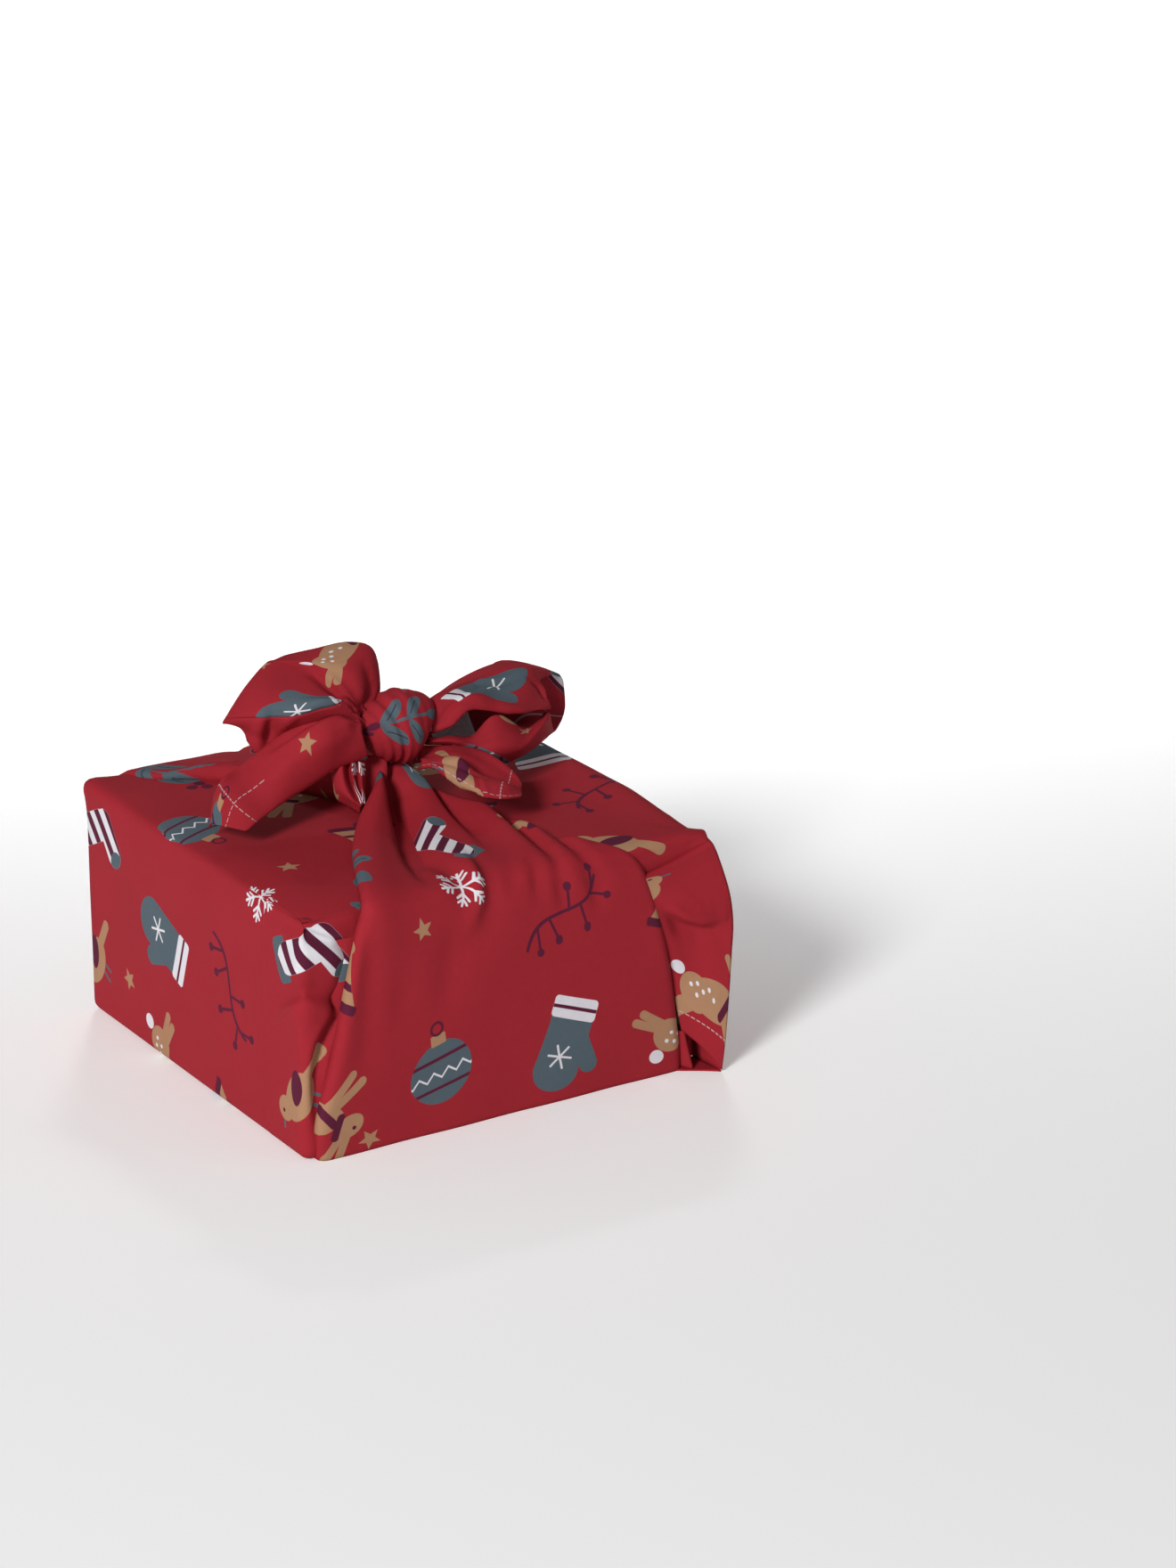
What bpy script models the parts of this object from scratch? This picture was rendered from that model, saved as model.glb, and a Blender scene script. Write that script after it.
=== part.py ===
"""A furoshiki: one hemmed square of printed cotton, folded round a box and tied on top in a bow.

The parcel stands on z = 0, centred on the origin, with its front face towards -Y.  Its cloth is
a hollow shell, because the box inside doesn't show.  Two opposite corners of the square lie flat
over the top, to the left and right.  The other two come up the front and back as gathered fans
and are tied over them: a knot, two loops and two free ends.
"""

import bmesh
import bpy
import numpy as np

MM = 0.001

# The wrapped box.
WIDTH, DEPTH, HEIGHT = 168 * MM, 170 * MM, 94 * MM
SOFT_EDGE = 4 * MM  # how round the cloth makes the box's edges
WALL = 2.5 * MM  # two or three layers of cotton, folded flat
SHEET = 1.8 * MM  # a free layer, with its hem's thickness
FAN_SINK, EAR_SINK = 1.5 * MM, 2.2 * MM  # how far they run into the cloth they are part of
FLOOR_GAP = 0.5 * MM  # how far the fans and the ear stop above the surface

# Below, z in a table is measured from the top of the box, and everything is in millimetres.

# A fan from the knot to the floor: how far out it runs, its height, its left and right edges.
FAN_ROWS = (
    # out, z, left, right
    (2, 17, -3, 8),
    (12, 12.5, -12, 13),
    (24, 8, -25, 19),
    (40, 5, -37, 26),
    (56, 4, -47, 31.5),
    (72, 3.5, -57, 40),
    (84, 2.5, -65, 47),
    (89.5, -2, -67.5, 54),
    (90.5, -12, -70.5, 60),
    (90.5, -30, -75, 65.5),
    (90.5, -55, -80, 71),
    (90, -78, -82.5, 74.5),
    (89, -94, -84, 76),
)
FAN_COLUMNS, FAN_STEPS = 22, 18
# The fan's gathers: place from the left edge to the right, half width as a share of the fan,
# height, and how far along the fan each one reaches.
FAN_GATHERS = (
    # place, half_width, height, reach
    (0.05, 0.05, 2.0, 1.0),
    (0.17, 0.08, 4.0, 0.55),
    (0.33, 0.045, -5.0, 0.5),
    (0.54, 0.12, 4.0, 0.55),
    (0.76, 0.04, -3.0, 0.6),
    (0.84, 0.04, 2.5, 0.65),
    (0.90, 0.03, -1.5, 0.6),
    (0.96, 0.03, 2.0, 0.7),
)

# A loop or a free end of the bow is a ribbon: its far edge, its near edge, how far its middle
# stands out, and the height of the pleats that run along it.
LEFT_LOOP = (
    # far x, y, z, near x, y, z, crown, pleat
    (4, 5, 40, -3, -8, 34, 1, 1.5),
    (2, 11, 53, -16, -7, 43, 4, 2.0),
    (-10, 16, 60, -36, -4, 45, 6, 2.0),
    (-27, 16, 61, -54, 0, 45, 4, 1.2),
    (-37, 18, 58, -62, 6, 43, 2, 0.6),
    (-37, 27, 49, -55, 15, 33, 1, 0.6),
    (-22, 27, 38, -38, 16, 25, 2, 1.0),
    (-3, 12, 28, -6, 6, 22, 0, 1.0),
)
RIGHT_LOOP = (
    (14, 4, 22, 15, -12, 25, 1, 1.0),
    (31, 12, 19, 31, -15, 27, 8, 1.2),
    (49, 16, 18, 48, -16, 28, 12, 1.0),
    (66, 20, 20, 62, -14, 29, 10, 0.6),
    (80, 20, 30, 70, -10, 31, 4, 0.4),
    (72, 16, 39, 60, -12, 35, 4, 0.6),
    (56, 12, 42, 44, -12, 35, 4, 1.0),
    (38, 9, 41, 30, -10, 38, 3, 1.2),
    (16, 5, 34, 15, -7, 36, 0, 1.0),
)
LEFT_END = (
    (0, 2, 32, -1, -9, 21, 1, 1.5),
    (-18, 6, 36, -17, -7, 18, 2, 1.5),
    (-36, 9, 31, -30, -6, 15, 3, 1.2),
    (-52, 10, 24, -44, -7, 11, 3, 0.8),
    (-65, 9, 15, -55, -10, 8, 2, 0.4),
    (-72, 2, 8, -64, -13, 6, 1, 0.2),
)
RIGHT_END = (
    (10, -6, 22, 6, -10, 17, 0, 1.0),
    (26, -9, 19, 11, -22, 14, 1, 0.8),
    (38, -15, 18, 16, -34, 11.5, 2, 0.5),
    (45, -28, 14.5, 22, -46, 10, 2, 0.3),
    (42, -45, 11, 29, -54, 9, 1, 0.0),
)
RIBBON_PLEATS = 2.5  # how many pleats lie side by side

# The knot: a band of cloth that goes over the tied corners, thicker above than below.
KNOT_CENTRE = (5, -4, 30)
KNOT_HALF = (16.5, 13, 15.5)
KNOT_PINCH = 0.25  # how much narrower its underside is
KNOT_TURNS = 3
KNOT_RIDGE = 0.045  # the height of a turn, as a share of the radius

# The ear: the folded cloth that stands out at the front right corner.  Each row goes round it.
EAR_ROWS = (
    # z, start x, start y, tip x, tip y, end x, end y
    (-1, 66, -87, 86, -87, 85.5, -76),
    (-10, 66, -88, 89, -90, 86, -70),
    (-24, 68, -89.5, 92.5, -93, 86, -64),
    (-36, 69, -90.5, 94, -95, 86, -62),
    (-42, 70, -89.5, 93.5, -94.5, 86, -62),
    (-62, 72, -90.5, 92.5, -96, 86, -62),
    (-80, 74, -90.5, 89.5, -97, 86, -64),
    (-93.5, 75, -90, 87.5, -97.5, 86, -68),
)
EAR_BULGE = 0.3  # how full its two sides are
# The ear's hem comes down slanting, from this height beside the fan to the ear's tip at the floor,
# and leaves a small mouth.
HEM_TOP = 18 * MM
MOUTH_X, MOUTH_Y = (76.2 * MM, 84 * MM), (-105 * MM, -70 * MM)
MOUTH_ROOF = (14.5 * MM, 6 * MM)

# Soft dents and swells of the parcel's own cloth: where, how far they reach, how high.
SWELLS = (
    # x, y, z, reach x, reach y, reach z, height
    (-84, -84, -17, 12, 16, 12, 2.2),
    (-84, -76, -34, 9, 14, 4, -1.4),
    (-84, -80, -60, 7, 7, 20, 1.8),
    (-84, -66, -60, 10, 6, 22, -1.0),
    (-84, 10, -50, 10, 60, 40, 0.8),
    (84, 0, -50, 10, 60, 40, 0.8),
    (-45, 5, 0, 26, 26, 10, -1.2),
    (55, 20, 0, 26, 40, 10, -0.8),
)


def clear_scene():
    for thing in list(bpy.data.objects):
        bpy.data.objects.remove(thing)


def make_collection(name):
    collection = bpy.data.collections.new(name)
    bpy.context.scene.collection.children.link(collection)
    return collection


def cotton():
    """Deep red printed cotton."""
    material = bpy.data.materials.new("printed_cotton")
    material.use_nodes = True
    shader = material.node_tree.nodes["Principled BSDF"]
    shader.inputs["Base Color"].default_value = (0.33, 0.018, 0.028, 1)
    shader.inputs["Roughness"].default_value = 0.85
    shader.inputs["Metallic"].default_value = 0.0
    return material


def read_rows(rows, at):
    """A table read along a smooth curve through its rows: at runs from 0 to 1."""
    rows = np.array(rows, float)
    last = len(rows) - 1
    place = np.clip(at, 0, 1) * last
    row = np.minimum(place.astype(int), last - 1)
    part = (place - row)[..., None]
    ends = np.vstack([2 * rows[0] - rows[1], rows, 2 * rows[-1] - rows[-2]])
    before, here, there, after = (ends[row + step] for step in range(4))
    curve = 2 * here + (there - before) * part
    curve += (2 * before - 5 * here + 4 * there - after) * part**2
    curve += (3 * here - before - 3 * there + after) * part**3
    return curve / 2


def bump(distance, reach):
    """1 at the middle of a fold, falling softly to 0 past its reach."""
    return np.exp(-((distance / reach) ** 2))


def from_top(x, y, z):
    """Points whose height is measured from the top of the box, in metres."""
    return np.stack([x * MM, y * MM, HEIGHT + z * MM], axis=-1)


def finish_object(bm, name, collection, material):
    mesh = bpy.data.meshes.new(name)
    bm.to_mesh(mesh)
    bm.free()
    mesh.shade_smooth()
    mesh.materials.append(material)
    thing = bpy.data.objects.new(name, mesh)
    collection.objects.link(thing)
    return thing


def move_points(bm, place):
    """Moves each point of a unit shape to where place() says."""
    points = np.array([vert.co for vert in bm.verts])
    for vert, new in zip(bm.verts, place(*points.T)):
        vert.co = new


def unit_block(across, along):
    """A cube from 0 to 1, cut into a grid seen from above."""
    bm = bmesh.new()
    bmesh.ops.create_cube(bm, size=1)
    bmesh.ops.translate(bm, verts=bm.verts, vec=(0.5, 0.5, 0.5))
    for axis, cuts in ((0, across), (1, along)):
        normal = [float(axis == k) for k in range(3)]
        for cut in range(1, cuts):
            everything = bm.verts[:] + bm.edges[:] + bm.faces[:]
            at = [value * cut / cuts for value in normal]
            bmesh.ops.bisect_plane(bm, geom=everything, plane_co=at, plane_no=normal)
    return bm


def face_out(bm):
    bm.normal_update()
    bmesh.ops.recalc_face_normals(bm, faces=bm.faces)
    if bm.calc_volume(signed=True) < 0:
        bmesh.ops.reverse_faces(bm, faces=bm.faces)


def inside_parcel(points, depth):
    """The nearest place that is this deep in the parcel's cloth."""
    low = np.array([depth - WIDTH / 2, depth - DEPTH / 2, FLOOR_GAP])
    high = np.array([WIDTH / 2, DEPTH / 2, HEIGHT]) - depth
    return np.clip(points, low, high)


def swell_height(points):
    """How far the parcel's cloth stands out, or is drawn in, at each point."""
    height = np.zeros(len(points))
    for row in np.array(SWELLS, float):
        away = (points - from_top(*row[:3])) / (row[3:6] * MM)
        height += row[6] * MM * np.exp(-(away**2).sum(axis=1))
    return height


def parcel_shape(collection, material):
    """The box in its cloth: soft edges, and faces that swell and sink a little."""
    half = np.array([WIDTH, DEPTH, HEIGHT]) / 2
    bm = bmesh.new()
    bmesh.ops.create_cube(bm, size=1)
    for axis in range(3):
        normal = [float(axis == k) for k in range(3)]
        soft = 0.5 - SOFT_EDGE / (2 * half[axis])
        for cut in np.concatenate([[-soft], np.linspace(-0.4, 0.4, 9), [soft]]):
            everything = bm.verts[:] + bm.edges[:] + bm.faces[:]
            at = [value * cut for value in normal]
            bmesh.ops.bisect_plane(bm, geom=everything, plane_co=at, plane_no=normal)

    def place(x, y, z):
        points = np.stack([x, y, z], axis=-1) * half * 2
        core = np.clip(points, SOFT_EDGE - half, half - SOFT_EDGE)
        outward = points - core
        outward /= np.linalg.norm(outward, axis=1, keepdims=True)
        points = core + outward * SOFT_EDGE + (0, 0, half[2])
        # The underside lies flat on the surface.
        lifted = np.clip(points[:, 2:] / (10 * MM), 0, 1)
        return points + outward * lifted * swell_height(points)[:, None]

    move_points(bm, place)
    return finish_object(bm, "wrap", collection, material)


def fan_turn(out):
    """How far a fan has turned down from the top of the box to its face."""
    return np.clip((out - 72) / 18, 0, 1) * np.pi / 2


def fan_surface(across, along, side):
    """The outside of a fan.  side is -1 for the front and 1 for the back."""
    out, z, left, right = np.moveaxis(read_rows(FAN_ROWS, along), -1, 0)
    x = left + (right - left) * across
    lift = np.zeros_like(x)
    for place, half_width, height, reach in FAN_GATHERS:
        fade = np.clip(1.25 - along / reach, 0, 1) * np.clip(0.4 + along * 6, 0, 1)
        lift += height * bump(across - place, half_width) * fade
    # The gathers stand up on the top of the box, and out from its face.
    turn = fan_turn(out)
    return from_top(x, side * (out + lift * np.sin(turn)), z + lift * np.cos(turn))


def fan_shape(name, side, collection, material):
    bm = unit_block(FAN_COLUMNS, FAN_STEPS)

    def place(across, along, outer):
        surface = fan_surface(across, along, side)
        surface[:, 2] = np.maximum(surface[:, 2], FLOOR_GAP)
        return np.where(outer[:, None] > 0.5, surface, inside_parcel(surface, FAN_SINK))

    move_points(bm, place)
    face_out(bm)
    return finish_object(bm, name, collection, material)


def fan_room_shape(name, side, collection, material):
    """The room under a fan, which leaves its cloth as thick as the other walls."""
    columns, steps = FAN_COLUMNS - 2, FAN_STEPS - 5
    bm = unit_block(columns, steps)

    def place(across, along, outer):
        across, along = (across * columns + 1) / FAN_COLUMNS, (along * steps + 4) / FAN_STEPS
        surface = fan_surface(across, along, side)
        turn = fan_turn(np.abs(surface[:, 1]) / MM)
        inward = -np.stack([0 * turn, side * np.sin(turn), np.cos(turn)], axis=-1)
        surface += inward * WALL
        return np.where(outer[:, None] > 0.5, surface, inside_parcel(surface, WALL * 1.4))

    move_points(bm, place)
    face_out(bm)
    return finish_object(bm, name, collection, material)


def ribbon_surface(rows, across, along):
    """A strip of cloth between its two edges, with a crown and pleats along it."""
    step = 0.002
    here = read_rows(rows, along)
    behind = read_rows(rows, np.clip(along - step, 0, 1))
    ahead = read_rows(rows, np.clip(along + step, 0, 1))
    share = across[:, None]
    run = (ahead - behind)[:, :3] * (1 - share) + (ahead - behind)[:, 3:6] * share
    width = here[:, 3:6] - here[:, :3]
    outward = np.cross(run, width)
    outward /= np.linalg.norm(outward, axis=1, keepdims=True)
    crown, pleat = here[:, 6], here[:, 7]
    lift = crown * 4 * across * (1 - across)
    lift += pleat * np.sin(2 * np.pi * RIBBON_PLEATS * across)
    points = here[:, :3] + width * share + outward * lift[:, None]
    return from_top(*points.T)


def ribbon_shape(name, rows, steps, collection, material):
    bm = bmesh.new()
    bmesh.ops.create_grid(bm, x_segments=9, y_segments=steps, size=0.5)
    move_points(bm, lambda x, y, z: ribbon_surface(rows, x + 0.5, y + 0.5))
    ribbon = finish_object(bm, name, collection, material)
    layer = ribbon.modifiers.new("layer of cloth", "SOLIDIFY")
    layer.thickness = SHEET
    layer.offset = 0
    return ribbon


def knot_shape(collection, material):
    bm = bmesh.new()
    bmesh.ops.create_uvsphere(bm, u_segments=24, v_segments=12, radius=1)

    def place(x, y, z):
        # The sphere's poles become the two sides where the loops come out.
        around = np.arctan2(y, x)
        ring = np.sqrt(np.maximum(1 - z**2, 0)) ** 0.6
        ring = ring * (1 + KNOT_RIDGE * np.cos(2 * np.pi * KNOT_TURNS * z + around))
        below = (1 - np.sin(around)) / 2
        ends = np.sign(z) * np.abs(z) ** 1.2 * (1 - KNOT_PINCH * below)
        shape = np.stack([ends, ring * np.cos(around), ring * np.sin(around)], axis=-1)
        return from_top(*(shape * KNOT_HALF + KNOT_CENTRE).T)

    move_points(bm, place)
    face_out(bm)
    return finish_object(bm, "knot shape", collection, material)


def ear_shape(collection, material):
    bm = unit_block(across=10, along=10)

    def place(across, along, outer):
        row = read_rows(EAR_ROWS, along)
        z, start, tip, end = row[:, 0], row[:, 1:3], row[:, 3:5], row[:, 5:7]
        # From the front to the fold at the tip, then back along the side face.
        part = np.abs(2 * across - 1)[:, None]
        bulge = (1 - part) * part * EAR_BULGE
        side = np.where(across[:, None] < 0.5, start, end)
        plan = tip + (side - tip) * (part - bulge)
        surface = from_top(plan[:, 0], plan[:, 1], z)
        hem = HEM_TOP * np.clip(1 - 2 * across, 0, 1)
        surface[:, 2] = hem + surface[:, 2] * (HEIGHT - hem) / HEIGHT
        return np.where(outer[:, None] > 0.5, surface, inside_parcel(surface, EAR_SINK))

    move_points(bm, place)
    face_out(bm)
    return finish_object(bm, "ear shape", collection, material)


def room_shape(collection, material):
    """Where the box lies inside the cloth."""
    bm = bmesh.new()
    bmesh.ops.create_cube(bm, size=1)
    size = (WIDTH - 2 * WALL, DEPTH - 2 * WALL, HEIGHT - 2 * WALL)
    bmesh.ops.scale(bm, verts=bm.verts, vec=size)
    bmesh.ops.translate(bm, verts=bm.verts, vec=(0, 0, HEIGHT / 2))
    return finish_object(bm, "room shape", collection, material)


def mouth_shape(collection, material):
    """A wedge under the ear's hem, through the front face and into the room."""
    bm = bmesh.new()
    bmesh.ops.create_cube(bm, size=1)

    def place(x, y, z):
        sideways = np.where(x > 0, MOUTH_X[1], MOUTH_X[0])
        inwards = np.where(y > 0, MOUTH_Y[1], MOUTH_Y[0])
        roof = np.where(x > 0, MOUTH_ROOF[1], MOUTH_ROOF[0])
        return np.stack([sideways, inwards, np.where(z > 0, roof, WALL)], axis=-1)

    move_points(bm, place)
    return finish_object(bm, "mouth shape", collection, material)


def combine(wrap, operation, shape):
    """Joins a shape to the wrap or cuts it away, and hides the shape itself."""
    step = wrap.modifiers.new(shape.name, "BOOLEAN")
    step.operation = operation
    step.solver = "MANIFOLD"  # EXACT leaves open edges where the ear meets the fan
    step.object = shape
    shape.hide_render = True
    shape.display_type = "WIRE"


def main():
    clear_scene()
    model = make_collection("furoshiki wrap")
    shapes = make_collection("shapes joined into the wrap")
    red = cotton()
    wrap = parcel_shape(model, red)
    joined = (
        fan_shape("front fan shape", -1, shapes, red),
        fan_shape("back fan shape", 1, shapes, red),
        ear_shape(shapes, red),
        knot_shape(shapes, red),
        ribbon_shape("left loop shape", LEFT_LOOP, 30, shapes, red),
        ribbon_shape("right loop shape", RIGHT_LOOP, 34, shapes, red),
        ribbon_shape("left end shape", LEFT_END, 14, shapes, red),
        ribbon_shape("right end shape", RIGHT_END, 12, shapes, red),
    )
    for shape in joined:
        combine(wrap, "UNION", shape)
    cutters = (
        room_shape(shapes, red),
        fan_room_shape("front fan room shape", -1, shapes, red),
        fan_room_shape("back fan room shape", 1, shapes, red),
        mouth_shape(shapes, red),
    )
    for cutter in cutters:
        combine(wrap, "DIFFERENCE", cutter)


main()
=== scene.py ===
# %% [markdown]
# # A furoshiki: one square of cotton, folded round a box and tied in a bow
#
# The packed model holds the wrap's true sizes as one plain solid.  This lesson dresses it: each
# fold of the cloth is made again as a thin sheet on that solid's form, with the finer creases,
# rolled folds and stitched hems that a step closer shows.  Then the sheets are joined, because
# the real thing is one piece of cloth, and the print, the weave and the light are added.
#
# Every length below that ends in MM is in metres.  The tables are in millimetres, and their z is
# measured up from the top of the box, because that is the easiest place to measure from.

# %% Load the packed model
from functools import reduce

import bpy
import numpy as np
from mathutils import Matrix


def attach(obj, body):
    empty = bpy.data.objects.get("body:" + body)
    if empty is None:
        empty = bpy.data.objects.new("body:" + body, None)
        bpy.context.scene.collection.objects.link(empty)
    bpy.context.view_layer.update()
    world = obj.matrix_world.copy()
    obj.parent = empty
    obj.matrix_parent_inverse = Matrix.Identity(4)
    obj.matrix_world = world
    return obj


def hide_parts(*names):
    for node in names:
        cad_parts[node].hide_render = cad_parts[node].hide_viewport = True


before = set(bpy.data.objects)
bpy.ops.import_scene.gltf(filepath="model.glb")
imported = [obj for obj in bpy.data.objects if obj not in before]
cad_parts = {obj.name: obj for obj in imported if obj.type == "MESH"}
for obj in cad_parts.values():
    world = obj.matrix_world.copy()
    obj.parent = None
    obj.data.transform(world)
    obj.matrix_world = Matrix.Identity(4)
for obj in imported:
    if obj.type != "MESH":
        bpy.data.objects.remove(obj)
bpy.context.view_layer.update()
MM = 0.001

# %% [markdown]
# ## The camera
#
# The camera comes first, because it decides what has to be fine and what can be plain.  It stands
# to the left of the front face and looks down by 20 degrees.  A long lens from 1.7 m away keeps
# the parcel's sides nearly parallel.  Its aim is off the parcel's middle, because the parcel fills
# the lower left of the frame, and the camera is moved sideways for that and not turned.

# %% Place the camera
FRAME_PIXELS = (1320, 1760)
FOCAL_PIXELS = 5000
SENSOR = 36  # mm along the frame's longer side
CAMERA_TURN, CAMERA_RISE = np.radians(-32.389), np.radians(19.972)
CAMERA_AWAY, CAMERA_ASIDE, CAMERA_ABOVE = 1.7007, 0.0759, 0.0957


def stand(thing, right, up, back, place):
    """Stands a camera or a lamp at its place, with its own axes along three directions."""
    rows = [[*row, at] for row, at in zip(np.transpose([right, up, back]), place)]
    thing.matrix_world = Matrix(rows + [[0, 0, 0, 1]])


def add_camera():
    flat = np.array([np.sin(CAMERA_TURN), -np.cos(CAMERA_TURN)]) * np.cos(CAMERA_RISE)
    back = np.array([*flat, np.sin(CAMERA_RISE)])
    right = np.array([np.cos(CAMERA_TURN), np.sin(CAMERA_TURN), 0])
    up = np.cross(back, right)
    place = back * CAMERA_AWAY + right * CAMERA_ASIDE + up * CAMERA_ABOVE
    bpy.ops.object.camera_add()
    camera = bpy.context.object
    stand(camera, right, up, back, place)
    camera.data.sensor_width = SENSOR
    camera.data.lens = SENSOR * FOCAL_PIXELS / max(FRAME_PIXELS)
    camera.data.clip_end = 20
    bpy.context.scene.camera = camera
    return camera


camera = add_camera()
print("lens", round(camera.data.lens, 1), "mm")

# %% [markdown]
# ## Curves through tables
#
# Cloth has no straight edges and no true arcs, so its folds are set down as a few measured rows,
# and a smooth curve is read through them.  The Catmull-Rom curve is used because it passes through
# every row.

# %% Read a table along a smooth curve
BOX = (168, 170, 94)  # mm, the wrapped box
WIDTH, DEPTH, HEIGHT = (side * MM for side in BOX)


def smooth_curve(before, here, there, after, part):
    """The Catmull-Rom curve between two points, given the ones before and after them."""
    curve = 2 * here + (there - before) * part
    curve += (2 * before - 5 * here + 4 * there - after) * part**2
    curve += (3 * here - before - 3 * there + after) * part**3
    return curve / 2


def read_rows(rows, at):
    """A table read along a smooth curve through its rows: at runs from 0 to 1."""
    rows = np.array(rows, float)
    last = len(rows) - 1
    place = np.clip(at, 0, 1) * last
    row = np.minimum(place.astype(int), last - 1)
    part = (place - row).reshape(place.shape + (1,) * (rows.ndim - 1))
    ends = np.concatenate([[2 * rows[0] - rows[1]], rows, [2 * rows[-1] - rows[-2]]])
    return smooth_curve(*(ends[row + step] for step in range(4)), part)


def read_net(net, across, along, closed=False):
    """A net read smoothly both ways.  A closed net joins its last column to its first."""
    sections = read_rows(net, along)
    order = np.arange(len(sections))
    columns = sections.shape[1]
    if closed:
        place = across * columns
        column = np.floor(place).astype(int)
        near = (sections[order, (column + step) % columns] for step in (-1, 0, 1, 2))
    else:
        place = across * (columns - 1)
        column = np.minimum(place.astype(int), columns - 2)
        first, last = 2 * sections[:, 0] - sections[:, 1], 2 * sections[:, -1] - sections[:, -2]
        padded = np.concatenate([first[:, None], sections, last[:, None]], axis=1)
        near = (padded[order, column + step] for step in range(4))
    return smooth_curve(*near, (place - column)[:, None])


def from_top(x, y, z):
    """Points whose height is measured from the top of the box, in metres."""
    return np.stack([x * MM, y * MM, HEIGHT + z * MM], axis=-1)


def bump(distance, reach):
    """1 at the middle of a fold, falling softly to 0 past its reach."""
    return np.exp(-((distance / reach) ** 2))


def ease(share):
    """A smooth step from 0 to 1."""
    share = np.clip(share, 0, 1)
    return share * share * (3 - 2 * share)


print("halfway through 0, 1, 4:", read_rows([(0,), (1,), (4,)], np.array([0.5]))[0, 0])

# %% [markdown]
# ## A sheet of cloth
#
# Each fold starts as Blender's grid primitive, whose points are moved to where the cloth hangs.
# Each point also keeps its place on the flat square as a UV, in metres, so the print and the
# weave follow the cloth through every fold.  A second UV map holds the distance to the hem, which
# the material needs for the stitches.  Solidify then gives the sheet its thickness, and a second
# material for the reverse.

# %% Make a sheet from a grid
CLOTH = 0.7 * MM  # a layer of cotton, a little thicker than life so that its edges show
FAR_FROM_HEM = 0.5  # metres: no hem near this point
SIDES = [bpy.data.materials.new(name) for name in ("printed cotton", "reverse of the cotton")]
sheets = []


def points_of(mesh):
    points = np.empty(len(mesh.vertices) * 3)
    mesh.vertices.foreach_get("co", points)
    return points.reshape(-1, 3)


def set_uv(mesh, name, values):
    """Gives every corner of every face the value of its point, or takes one value per corner."""
    layer = mesh.uv_layers.get(name) or mesh.uv_layers.new(name=name)
    if len(values) == len(mesh.vertices):
        corner_points = np.empty(len(mesh.loops), int)
        mesh.loops.foreach_get("vertex_index", corner_points)
        values = values[corner_points]
    layer.data.foreach_set("uv", values.astype(np.float32).ravel())


def lay_out(mesh, points, flat, hem=None):
    """Moves a mesh's points to their places, and gives their places on the flat square."""
    mesh.vertices.foreach_set("co", points.ravel())
    mesh.uv_layers[0].name = "flat cloth"
    set_uv(mesh, "flat cloth", flat)
    set_uv(mesh, "hem", np.full((len(points), 2), FAR_FROM_HEM) if hem is None else hem)
    mesh.update()


def add_piece(name, primitive, **settings):
    """Adds one of Blender's primitives, with nothing else selected."""
    bpy.ops.object.select_all(action="DESELECT")
    primitive(**settings)
    piece = bpy.context.object
    piece.name = name
    return piece


def edit_all(operator, **settings):
    """Runs an operator of edit mode on all of the active mesh."""
    bpy.ops.object.mode_set(mode="EDIT")
    bpy.ops.mesh.select_all(action="SELECT")
    operator(**settings)
    bpy.ops.object.mode_set(mode="OBJECT")


def finish_sheet(piece, thickness=CLOTH, offset=-1, doubled=False):
    """Gives the sheet its two sides.  Cloth that is rolled double shows the print on both."""
    for side in SIDES:
        piece.data.materials.append(side)
    layer = piece.modifiers.new("thickness", "SOLIDIFY")
    layer.thickness = thickness
    layer.offset = offset
    layer.use_even_offset = False
    layer.material_offset = 0 if doubled else 1
    bpy.ops.object.modifier_apply(modifier=layer.name)
    piece.data.shade_smooth()
    sheets.append(piece)
    print(f"{piece.name}: {len(piece.data.polygons)} faces")
    return piece


def cloth_grid(name, columns, steps, place, flat, hem=None, inside_out=False, **thickness):
    """place(across, along) is where the cloth hangs, flat(across, along) where it lies flat."""
    cells = {"x_subdivisions": columns, "y_subdivisions": steps}
    piece = add_piece(name, bpy.ops.mesh.primitive_grid_add, size=1, **cells)
    grid = (points_of(piece.data)[:, :2] + 0.5).T
    lay_out(piece.data, place(*grid), flat(*grid), hem and hem(*grid))
    if inside_out:
        edit_all(bpy.ops.mesh.flip_normals)
    return finish_sheet(piece, **thickness)


print("a layer of cloth is", round(CLOTH / MM, 1), "mm thick")

# %% [markdown]
# ## Creases
#
# A crease is a soft ridge or trough along a line, often steeper on one side, where the cloth
# laps over itself.  Each row of a crease is a point of its line, its half width to either side and
# its height, all in millimetres.  Where the half widths stay the same they are given once.  One
# helper lifts the points of any sheet by its creases.

# %% Lift points by creases
CREASE_DEPTH = 6  # mm: a crease moves only the cloth this near to it


def crease(left, right, *rows):
    """A crease whose half widths stay the same, so that its rows give only place and height."""
    return [(*place, left, right, height) for *place, height in rows]


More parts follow.
